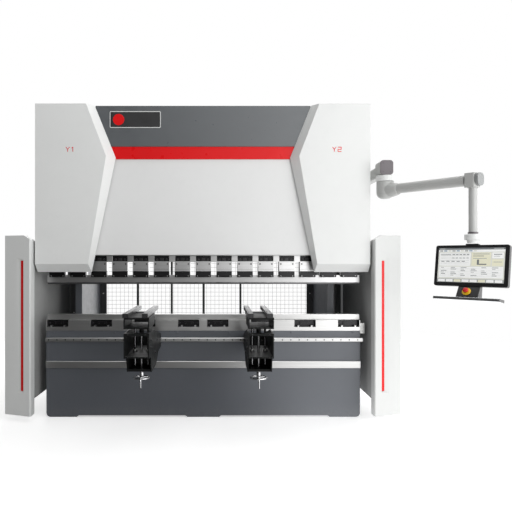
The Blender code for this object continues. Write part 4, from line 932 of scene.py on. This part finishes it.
# ================================================================ rear guard: welded wire mesh in posts
b = B("rear_guard_frame")
for s in (-1, 1):
    b.box(s * 1.215, s * 1.2897, 1.285, 1.310, 0.58, 1.95, "dark")
for cx in (-0.834, -0.424, -0.036, 0.410):
    b.box(cx - 0.0125, cx + 0.0125, 1.2851, 1.3099, 0.592, 1.938, "dark")
for z0, z1 in ((0.60, 0.64), (1.90, 1.94)):
    b.box(-1.25, 1.25, 1.286, 1.309, z0, z1, "dark")
for s in (-1, 1):
    for z in (0.70, 1.10, 1.45, 1.82):
        b.socket((s * 1.252, 1.2851, z), (0, -1, 0), 0.008, 0.006, "zinc")
b.done("frame", 0.0012, replaces=("rear_guard",))
b = B("rear_guard_wires")
x = -1.20
while x < 1.205:
    b.tube([(x, 1.3005, 0.63), (x, 1.3005, 1.91)], 0.0013, "wire", 8)
    x += 0.05
z = 0.665
while z < 1.90:
    b.tube([(-1.225, 1.3035, z), (1.225, 1.3035, z)], 0.0013, "wire", 8)
    z += 0.05
b.done("frame", 0)

# ================================================================ cabinet
refine("cabinet_door", M["cab"], 0.003)
b = B("cabinet_door_fittings")
b.prism(rrect(1.30, 1.42, 1.80, 1.92, 0.01), "X", 1.8242, 1.8290, "black")
for i in range(7):
    z = 1.815 + i * 0.0145
    b.prism([(1.312, z), (1.408, z), (1.408, z + 0.004), (1.312, z + 0.007)], "X", 1.829, 1.834, "black")
b.prism(rrect(1.30, 1.42, 0.68, 0.80, 0.01), "X", 1.8242, 1.8290, "black")
for i in range(7):
    z = 0.695 + i * 0.0145
    b.prism([(1.312, z), (1.408, z), (1.408, z + 0.004), (1.312, z + 0.007)], "X", 1.829, 1.834, "black")
b.lathe([(0, 0), (0.030, 0), (0.032, 0.003), (0.032, 0.006), (0.020, 0.008), (0, 0.008)], (1.8241, 1.24, 1.62), (1, 0, 0), "yellow", 36)
b.box(1.831, 1.8378, 1.233, 1.247, 1.595, 1.645, "redp")
b.done("door", 0.0008)
b = B("cabinet_hinges")
for z in (0.72, 1.88):
    b.lathe([(0, 0), (0.007, 0), (0.008, 0.002), (0.008, 0.068), (0.007, 0.07), (0, 0.07)], (1.792, 1.584, z), (0, 0, 1), "bolt", 20)
b.box(1.40, 1.76, 1.5802, 1.584, 0.62, 0.66, "bolt")
for x in (1.45, 1.71):
    for z in (0.62, 1.98):
        b.hexbolt((x, 1.5799, z), (0, 1, 0), 0.007, 0.006)
for i in range(12):
    z = 1.60 + i * 0.022
    b.prism([(1.46, z), (1.70, z), (1.70, z + 0.006), (1.46, z + 0.006)], "Y", 1.5799, 1.5835, "dark")
b.done("frame", 0.0006)
b = B("cabinet_inside")
b.box(1.3853, 1.3893, 1.15, 1.53, 0.62, 1.98, "zinc")
for z in (0.75, 1.05, 1.35, 1.65):
    b.box(1.389, 1.396, 1.18, 1.50, z, z + 0.035, "zinc")
    y = 1.19
    k = 0
    while y < 1.46:
        w_ = (0.045, 0.028, 0.036, 0.052)[k % 4]
        b.box(1.396, 1.396 + (0.075, 0.055, 0.065)[k % 3], y, y + w_ - 0.003, z - 0.045, z + 0.075, ("black", "pale", "cast")[(k + int(z * 10)) % 3])
        y += w_
        k += 1
for y0_, y1_ in ((1.15, 1.175), (1.505, 1.53)):
    b.box(1.389, 1.43, y0_, y1_, 0.64, 1.96, "cast")
b.done("frame", 0.0012)

# ================================================================ pendant
BX, BY = 1.69, 0.55
EX, EY = 1.691, -0.30
PX, PY = 2.206, -0.95
b = B("pendant_link_fine")
b.prism(rrect(BX - 0.05, BX + 0.05, 2.2905, 2.395, 0.022, 6), "Y", EY + 0.05, BY, "cast")
b.lathe([(0, 2.2903), (0.076, 2.2903), (0.078, 2.293), (0.078, 2.404), (0.074, 2.409), (0.050, 2.4099), (0, 2.4099)], (BX, BY, 0), (0, 0, 1), "cast", 56)
b.prism(rrect(EX - 0.066, EX + 0.053, 2.2905, 2.425, 0.03, 8), "Y", EY - 0.060, EY + 0.09, "cast")
b.prism(rrect(EX - 0.0655, EX + 0.0525, 2.291, 2.4245, 0.029, 8), "Y", EY - 0.0745, EY - 0.0603, "capdark")
b.prism(rrect(EX - 0.052, EX + 0.039, 2.305, 2.411, 0.022, 8), "Y", EY - 0.0752, EY - 0.0742, "capdark")
b.prism(rrect(BX - 0.052, BX + 0.052, 2.2903, 2.398, 0.024, 6), "Y", 0.452, 0.470, "pale")
b.prism(rrect(BX - 0.052, BX + 0.052, 2.2903, 2.398, 0.024, 6), "Y", EY + 0.0905, EY + 0.104, "pale")
b.done("link", 0.0022, seg=3, replaces=("pendant_link",))
b = B("pendant_link_screws")
for q in (-1, 1):
    b.socket((BX + q * 0.03, BY + 0.03, 2.4098), (0, 0, 1), 0.007, 0.0005)
    for z in (2.318, 2.398):
        b.socket((EX - 0.0065 + q * 0.034, EY - 0.0751, z), (0, -1, 0), 0.0045, 0.0004)
b.lathe([(0, 0), (0.026, 0), (0.030, 0.001), (0.030, 0.003), (0.024, 0.006), (0, 0.0065)], (BX, BY, 2.4098), (0, 0, 1), "capdark", 40)
b.done("link", 0)

b = B("pendant_collar_fine")
b.lathe([(0, 2.2358), (0.079, 2.2358), (0.0835, 2.2395), (0.0835, 2.252), (0.0815, 2.254), (0.0815, 2.257), (0.0835, 2.259), (0.0835, 2.284), (0.079, 2.2896), (0, 2.2896)],
        (EX, EY, 0), (0, 0, 1), "pale", 64)
b.done("boom", 0, replaces=("pendant_collar",))

d = Vector((PX - EX, PY - EY, 0)).normalized()
b = B("pendant_arm_fine")
b.lathe([(0, 2.2353), (0.074, 2.2353), (0.078, 2.231), (0.078, 2.135), (0.0765, 2.122), (0.071, 2.106), (0.060, 2.092), (0.043, 2.0815), (0.02, 2.0775), (0, 2.077)], (EX, EY, 0), (0, 0, 1), "cast", 56)
S = Vector((EX, EY, 2.155))
b.lathe([(0, 0), (0.070, 0), (0.0685, 0.05), (0.064, 0.09), (0.0565, 0.122), (0.052, 0.136), (0.049, 0.140), (0, 0.140)], S, d, "cast", 48)
b.tube([Vector((EX, EY, 2.16)) + d * (0.05 + 0.72 * t / 4) for t in range(5)], 0.0450, "cast", 40)
E = Vector((PX, PY, 2.16))
turn = Matrix.Translation((PX, PY, 0)) @ Matrix.Rotation(math.atan2(-d.x, d.y), 4, "Z")
b.prism(rrect(-0.0525, 0.0525, -0.054, 0.0400, 0.020, 8), "Z", 2.1000, 2.2150, "cast", turn)
b.prism(rrect(-0.0515, 0.0515, 2.1120, 2.2135, 0.034, 8), "Y", 0.0403, 0.065, "capgrey", turn)
b.lathe([(0, 1.7248), (0.0335, 1.7248), (0.0335, 2.13), (0, 2.13)], (PX, PY, 0), (0, 0, 1), "cast", 40)
b.lathe([(0, 2.0955), (0.0405, 2.0955), (0.0425, 2.0975), (0.0425, 2.110), (0, 2.110)], (PX, PY, 0), (0, 0, 1), "cast", 48)
b.lathe([(0, 1.7248), (0.0395, 1.7248), (0.0395, 1.738), (0.037, 1.7405), (0, 1.7405)], (PX, PY, 0), (0, 0, 1), "capdark", 40)
b.done("boom", 0.0016, seg=2, replaces=("pendant_arm",))

b = B("panel_neck_fine")
b.lathe([(0, 1.7240), (0.059, 1.7240), (0.065, 1.719), (0.065, 1.704), (0.0632, 1.7025), (0.0632, 1.6995), (0.065, 1.698), (0.065, 1.681), (0.061, 1.6755),
         (0.048, 1.674), (0.0455, 1.664), (0.044, 1.6508), (0, 1.6508)], (PX, PY, 0), (0, 0, 1), "pale", 64)
b.done("neck", 0, replaces=("panel_neck",))

P = (Matrix.Translation((PX, PY, 1.642)) @ Matrix.Rotation(math.radians(-45), 4, "Z") @ Matrix.Rotation(math.radians(-9), 4, "X"))
PW, PH, PT = 0.575, 0.335, 0.055
zt, zb = -0.012, -0.012 - PH


def frame_face(b, outer, inner, y0, y1, mat, mx):
    n = len(outer)
    vs = [(x, y, z) for y in (y0, y1) for x, z in outer] + [(x, y, z) for y in (y0, y1) for x, z in inner]
    fs = []
    for q in range(n):
        r = (q + 1) % n
        fs += [(q, r, 2 * n + r, 2 * n + q), (n + q, 3 * n + q, 3 * n + r, n + r), (q, n + q, n + r, r), (2 * n + q, 2 * n + r, 3 * n + r, 3 * n + q)]
    b.add(vs, fs, mat, mx)


b = B("panel_housing_fine")
b.prism(rrect(-PW / 2, PW / 2, zb, zt, 0.016, 8), "Y", -PT / 2 + 0.0046, PT / 2 - 0.012, "black", P)
b.prism(rrect(-PW / 2 + 0.03, PW / 2 - 0.03, zb + 0.03, zt - 0.03, 0.02, 8), "Y", PT / 2 - 0.0122, PT / 2, "black", P)
frame_face(b, rrect(-PW / 2, PW / 2, zb, zt, 0.016, 8), rrect(-0.2635, 0.2565, zb + 0.0300, zt - 0.0215, 0.003, 8), -PT / 2, -PT / 2 + 0.0045, "black", P)
b.box(-0.05, 0.05, -0.020, 0.020, -0.0119, 0.0, "black", P)
for i in range(10):
    z = zb + 0.09 + i * 0.014
    b.box(-0.14, 0.14, PT / 2 - 0.0004, PT / 2 + 0.0, z, z + 0.005, "rubber", P)
b.done("panel", 0.0016, seg=3, replaces=("panel_housing",))

b = B("panel_screen_fine")
ys = -PT / 2 + 0.0012
b.box(-0.2625, 0.2555, ys, -PT / 2 + 0.0036, zb + 0.0310, zt - 0.0225, "scr", P)
b.done("panel", 0, replaces=("panel_screen",))
b = B("screen_tiles")
SX0, SX1, SZ0, SZ1 = -0.2625, 0.2555, zb + 0.0310, zt - 0.0225
SWd, SHt = SX1 - SX0, SZ1 - SZ0


def tile(u0, u1, v0, v1, mat, lift=1):
    """u from left, v from top, 0 to 1."""
    b.box(SX0 + u0 * SWd, SX0 + u1 * SWd, ys - 0.00018 * lift, ys + 0.00005, SZ1 - v1 * SHt, SZ1 - v0 * SHt, mat, P)


tile(0.0, 1.0, 0.0, 0.055, "scr_dark")
tile(0.02, 0.10, 0.012, 0.043, "scr_line", 2)
tile(0.84, 0.98, 0.012, 0.043, "scr_line", 2)
tile(0.0, 1.0, 0.055, 0.115, "scr_white")
for i in range(9):
    tile(0.02 + i * 0.065, 0.07 + i * 0.065, 0.068, 0.104, ("scr_line", "scr_blue", "scr")[i % 3], 2)
tile(0.02, 0.50, 0.14, 0.52, "scr_white")
for i in range(7):
    tile(0.035, 0.485, 0.165 + i * 0.05, 0.172 + i * 0.05, "scr_line", 2)
tile(0.035, 0.20, 0.19, 0.205, "scr_dark", 3)
for i in range(5):
    tile(0.22 + i * 0.055, 0.26 + i * 0.055, 0.185, 0.205, "scr_dark", 3)
    tile(0.22 + i * 0.055, 0.255 + i * 0.055, 0.285, 0.303, "scr_line", 3)
    tile(0.05 + i * 0.08, 0.10 + i * 0.08, 0.385, 0.402, "scr_dark", 3)
tile(0.52, 0.80, 0.14, 0.52, "scr_warm")
tile(0.54, 0.78, 0.17, 0.19, "scr_line", 2)
tile(0.54, 0.70, 0.23, 0.245, "scr_dark", 2)
tile(0.54, 0.74, 0.30, 0.315, "scr_line", 2)
tile(0.60, 0.63, 0.34, 0.49, "scr_dark", 2)
tile(0.63, 0.74, 0.46, 0.49, "scr_dark", 2)
tile(0.82, 0.98, 0.14, 0.30, "scr_white")
tile(0.84, 0.96, 0.18, 0.20, "scr_dark", 2)
tile(0.84, 0.93, 0.235, 0.25, "scr_line", 2)
tile(0.82, 0.98, 0.33, 0.52, "scr_warm")
tile(0.84, 0.96, 0.40, 0.415, "scr_line", 2)
tile(0.02, 0.98, 0.55, 0.86, "scr_white")
for i in range(6):
    tile(0.03, 0.97, 0.595 + i * 0.045, 0.599 + i * 0.045, "scr_line", 2)
for j in range(6):
    for i in range(6):
        if (i * 3 + j * 5) % 4 != 3:
            tile(0.05 + j * 0.155, 0.05 + j * 0.155 + 0.05 + 0.02 * ((i + j) % 3), 0.566 + i * 0.045, 0.580 + i * 0.045, "scr_dark" if (i + j) % 3 else "scr_line", 2)
tile(0.0, 1.0, 0.90, 1.0, "scr_line")
for i in range(8):
    tile(0.02 + i * 0.122, 0.125 + i * 0.122, 0.915, 0.985, "scr_warm" if i in (2, 5) else "scr_white", 2)
b.done("panel", 0)

b = B("control_box_fine")
b.prism([(-0.022, zb - 0.0003), (0.022, zb - 0.0003), (0.022, zb - 0.105), (-0.066, zb - 0.105), (-0.066, zb - 0.085)], "X", -0.085, 0.085, "black", P)
s0, s1 = Vector((-0.022, zb - 0.0003)), Vector((-0.066, zb - 0.085))
sdir = (s1 - s0).normalized()
out = Vector((sdir.y, -sdir.x))
if out.x > 0:
    out = -out
mid = s0 + (s1 - s0) * 0.52


def on_slope(x, t, up=0.0):
    p_ = s0 + (s1 - s0) * t + out * up
    return (x, p_.x, p_.y)


AX = (0, out.x, out.y)
for x in (-0.074, 0.074):
    for t in (0.12, 0.90):
        b.socket(on_slope(x, t), AX, 0.0038, 0.0016, "bolt", 18, P)
b.done("panel", 0.0012, seg=2, replaces=("control_box",))

b = B("estop_collar_fine")
b.lathe([(0.0115, 0.0003), (0.034, 0.0003), (0.034, 0.0045), (0.0325, 0.006), (0.019, 0.0068), (0.0135, 0.0105), (0.0115, 0.0105)], on_slope(-0.012, 0.52), AX, "yellow", 56, P)
b.done("panel", 0, replaces=("estop_collar",))
b = B("estop_button_fine")
b.lathe([(0, 0.0115), (0.0105, 0.0115), (0.0105, 0.0178), (0.0200, 0.0182), (0.0215, 0.0200), (0.0218, 0.0240), (0.0205, 0.0300), (0.0175, 0.0340), (0.0120, 0.0357), (0, 0.0360)],
        on_slope(-0.012, 0.52), AX, "redp", 56, P)
b.done("estop", 0, replaces=("estop_button",))

b = B("control_tray_fine")
b.prism([(0.012, zb - 0.1055), (0.012, zb - 0.1175), (-0.098, zb - 0.1175), (-0.100, zb - 0.1155), (-0.100, zb - 0.096), (-0.098, zb - 0.094), (-0.095, zb - 0.094), (-0.093, zb - 0.096), (-0.093, zb - 0.1055)],
        "X", -0.254, 0.254, "alux", P)
for s in (-1, 1):
    b.prism(rrect(-0.0995, 0.0115, zb - 0.1172, zb - 0.0942, 0.003, 3), "X", s * 0.2541, s * 0.2550, "black", P)
b.done("panel", 0.001, replaces=("control_tray",))
b = B("tray_mat")
b.prism(rrect(-0.20, 0.20, -0.089, -0.070, 0.006), "Z", zb - 0.1055, zb - 0.1045, "rubber", P)
b.done("panel", 0.0004)

# ================================================================ stage
def stage_floor():
    bm = bmesh.new()
    n, rings = 64, [0.0, 1.5, 3.0, 5.0, 7.0, 9.0, 12.0]
    rows = [[bm.verts.new((0, 0, 0))]]
    for r in rings[1:]:
        rows.append([bm.verts.new((r * math.cos(2 * math.pi * k / n), r * math.sin(2 * math.pi * k / n), 0)) for k in range(n)])
    for k in range(n):
        bm.faces.new([rows[0][0], rows[1][k], rows[1][(k + 1) % n]])
    for a, c in zip(rows[1:], rows[2:]):
        for k in range(n):
            bm.faces.new([a[k], c[k], c[(k + 1) % n], a[(k + 1) % n]])
    me = bpy.data.meshes.new("floor")
    bm.to_mesh(me)
    bm.free()
    ob = bpy.data.objects.new("floor", me)
    bpy.context.scene.collection.objects.link(ob)
    ob.location = (0.3, 0.0, -0.0005)
    m, nt, p = principled("floor_paint", (0.93, 0.93, 0.93), 0.55)
    p.inputs["Specular IOR Level"].default_value = 0.25
    v = coords(nt)
    nt.links.new(remap(nt, noise(nt, v, 3.0, 4.0), 0.5, 0.65), p.inputs["Roughness"])
    # the floor fades into the white surround
    ln = nt.nodes.new("ShaderNodeVectorMath")
    ln.operation = "LENGTH"
    nt.links.new(v, ln.inputs[0])
    fade = nt.nodes.new("ShaderNodeMapRange")
    fade.interpolation_type = "SMOOTHSTEP"
    fade.inputs["From Min"].default_value = 3.0
    fade.inputs["From Max"].default_value = 7.5
    nt.links.new(ln.outputs["Value"], fade.inputs["Value"])
    tr = nt.nodes.new("ShaderNodeBsdfTransparent")
    mx = nt.nodes.new("ShaderNodeMixShader")
    nt.links.new(fade.outputs["Result"], mx.inputs[0])
    nt.links.new(tr.outputs[0], mx.inputs[2])
    p.inputs["Emission Color"].default_value = (1, 1, 1, 1)
    p.inputs["Emission Strength"].default_value = 0.46
    sep = nt.nodes.new("ShaderNodeSeparateXYZ")
    nt.links.new(v, sep.inputs[0])
    side = nt.nodes.new("ShaderNodeMapRange")
    side.interpolation_type = "SMOOTHSTEP"
    side.inputs["From Min"].default_value = -0.3
    side.inputs["From Max"].default_value = 1.1
    side.inputs["To Min"].default_value = 0.16
    side.inputs["To Max"].default_value = 1.05
    nt.links.new(sep.outputs["X"], side.inputs["Value"])
    gleam = nt.nodes.new("ShaderNodeMapRange")
    gleam.interpolation_type = "SMOOTHSTEP"
    gleam.inputs["From Min"].default_value = -0.15
    gleam.inputs["From Max"].default_value = 0.95
    gleam.inputs["To Min"].default_value = 0.02
    gleam.inputs["To Max"].default_value = 1.6
    nt.links.new(sep.outputs["X"], gleam.inputs["Value"])
    pl = nt.nodes.new("ShaderNodeLightPath")
    pick = nt.nodes.new("ShaderNodeMix")
    pick.data_type = "FLOAT"
    nt.links.new(pl.outputs["Is Glossy Ray"], pick.inputs[0])
    nt.links.new(side.outputs["Result"], pick.inputs[2])
    nt.links.new(gleam.outputs["Result"], pick.inputs[3])
    em = nt.nodes.new("ShaderNodeEmission")
    nt.links.new(pick.outputs[0], em.inputs["Strength"])
    df = nt.nodes.new("ShaderNodeBsdfDiffuse")
    tone = nt.nodes.new("ShaderNodeMix")
    tone.data_type = "RGBA"
    nt.links.new(pl.outputs["Is Glossy Ray"], tone.inputs[0])
    tone.inputs[6].default_value = (0.30, 0.30, 0.30, 1)
    tone.inputs[7].default_value = (0.11, 0.11, 0.11, 1)
    nt.links.new(tone.outputs[2], df.inputs["Color"])
    ad = nt.nodes.new("ShaderNodeAddShader")
    nt.links.new(em.outputs[0], ad.inputs[0])
    nt.links.new(df.outputs[0], ad.inputs[1])
    sw = nt.nodes.new("ShaderNodeMixShader")
    nt.links.new(pl.outputs["Is Camera Ray"], sw.inputs[0])
    nt.links.new(ad.outputs[0], sw.inputs[1])
    nt.links.new(p.outputs[0], sw.inputs[2])
    nt.links.new(sw.outputs[0], mx.inputs[1])
    nt.links.new(mx.outputs[0], nt.nodes["Material Output"].inputs["Surface"])
    me.materials.append(m)


stage_floor()

world = bpy.data.worlds.new("studio")
world.use_nodes = True
bpy.context.scene.world = world
wt = world.node_tree
bg = wt.nodes["Background"]
tc = wt.nodes.new("ShaderNodeTexCoord")
sx = wt.nodes.new("ShaderNodeSeparateXYZ")
wt.links.new(tc.outputs["Generated"], sx.inputs[0])


def world_ramp(x0, x1, lo_, hi_, slant=0.0):
    """Brightness of the surround from the left of the object to its right; its edge may lean."""
    up = wt.nodes.new("ShaderNodeMath")
    up.operation = "MULTIPLY_ADD"
    up.inputs[1].default_value = slant
    wt.links.new(sx.outputs["Z"], up.inputs[0])
    wt.links.new(sx.outputs["X"], up.inputs[2])
    r = wt.nodes.new("ShaderNodeMapRange")
    r.interpolation_type = "SMOOTHSTEP"
    r.inputs["From Min"].default_value = x0
    r.inputs["From Max"].default_value = x1
    r.inputs["To Min"].default_value = lo_
    r.inputs["To Max"].default_value = hi_
    wt.links.new(up.outputs[0], r.inputs["Value"])
    return r.outputs["Result"]


def world_mix(fac, a, b):
    m = wt.nodes.new("ShaderNodeMix")
    m.data_type = "FLOAT"
    wt.links.new(fac, m.inputs[0])
    for i, v in ((2, a), (3, b)):
        if isinstance(v, float):
            m.inputs[i].default_value = v
        else:
            wt.links.new(v, m.inputs[i])
    return m.outputs[0]


soft = world_ramp(-0.30, 0.40, 0.36, 0.60)
shine = world_ramp(-0.02, 0.14, 0.06, 2.25, 0.35)
lp = wt.nodes.new("ShaderNodeLightPath")
bg.inputs["Color"].default_value = (1, 1, 1, 1)
wt.links.new(world_mix(lp.outputs["Is Camera Ray"], world_mix(lp.outputs["Is Glossy Ray"], soft, shine), 1.0), bg.inputs["Strength"])


def area(name, at, aim, sx_, sy_, power, col=(1, 1, 1)):
    li = bpy.data.lights.new(name, "AREA")
    li.shape, li.size, li.size_y, li.energy, li.color = "RECTANGLE", sx_, sy_, power, col
    ob = bpy.data.objects.new(name, li)
    bpy.context.scene.collection.objects.link(ob)
    ob.location = at
    ob.rotation_euler = (Vector(aim) - Vector(at)).to_track_quat("-Z", "Y").to_euler()
    return ob


area("key", (4.4, -4.6, 2.4), (0.9, 0, 1.4), 4.6, 4.6, 178)
area("top", (0.3, -0.4, 6.0), (0.0, 0.0, 0.0), 5.0, 4.0, 60)
area("rear", (-2.0, 6.0, 3.0), (0, 0.5, 1.5), 4.0, 3.0, 90)

cam = bpy.data.cameras.new("camera")
cam.lens, cam.sensor_width = 38.73, 36.0
cam.shift_x, cam.shift_y = 0.0703, 0.0039
co = bpy.data.objects.new("camera", cam)
bpy.context.scene.collection.objects.link(co)
co.location = (0.162, -5.4, 1.53)
co.rotation_euler = (math.radians(90), 0, 0)
bpy.context.scene.camera = co
bpy.context.scene.view_settings.view_transform = "Standard"
bpy.context.scene.view_settings.look = "None"
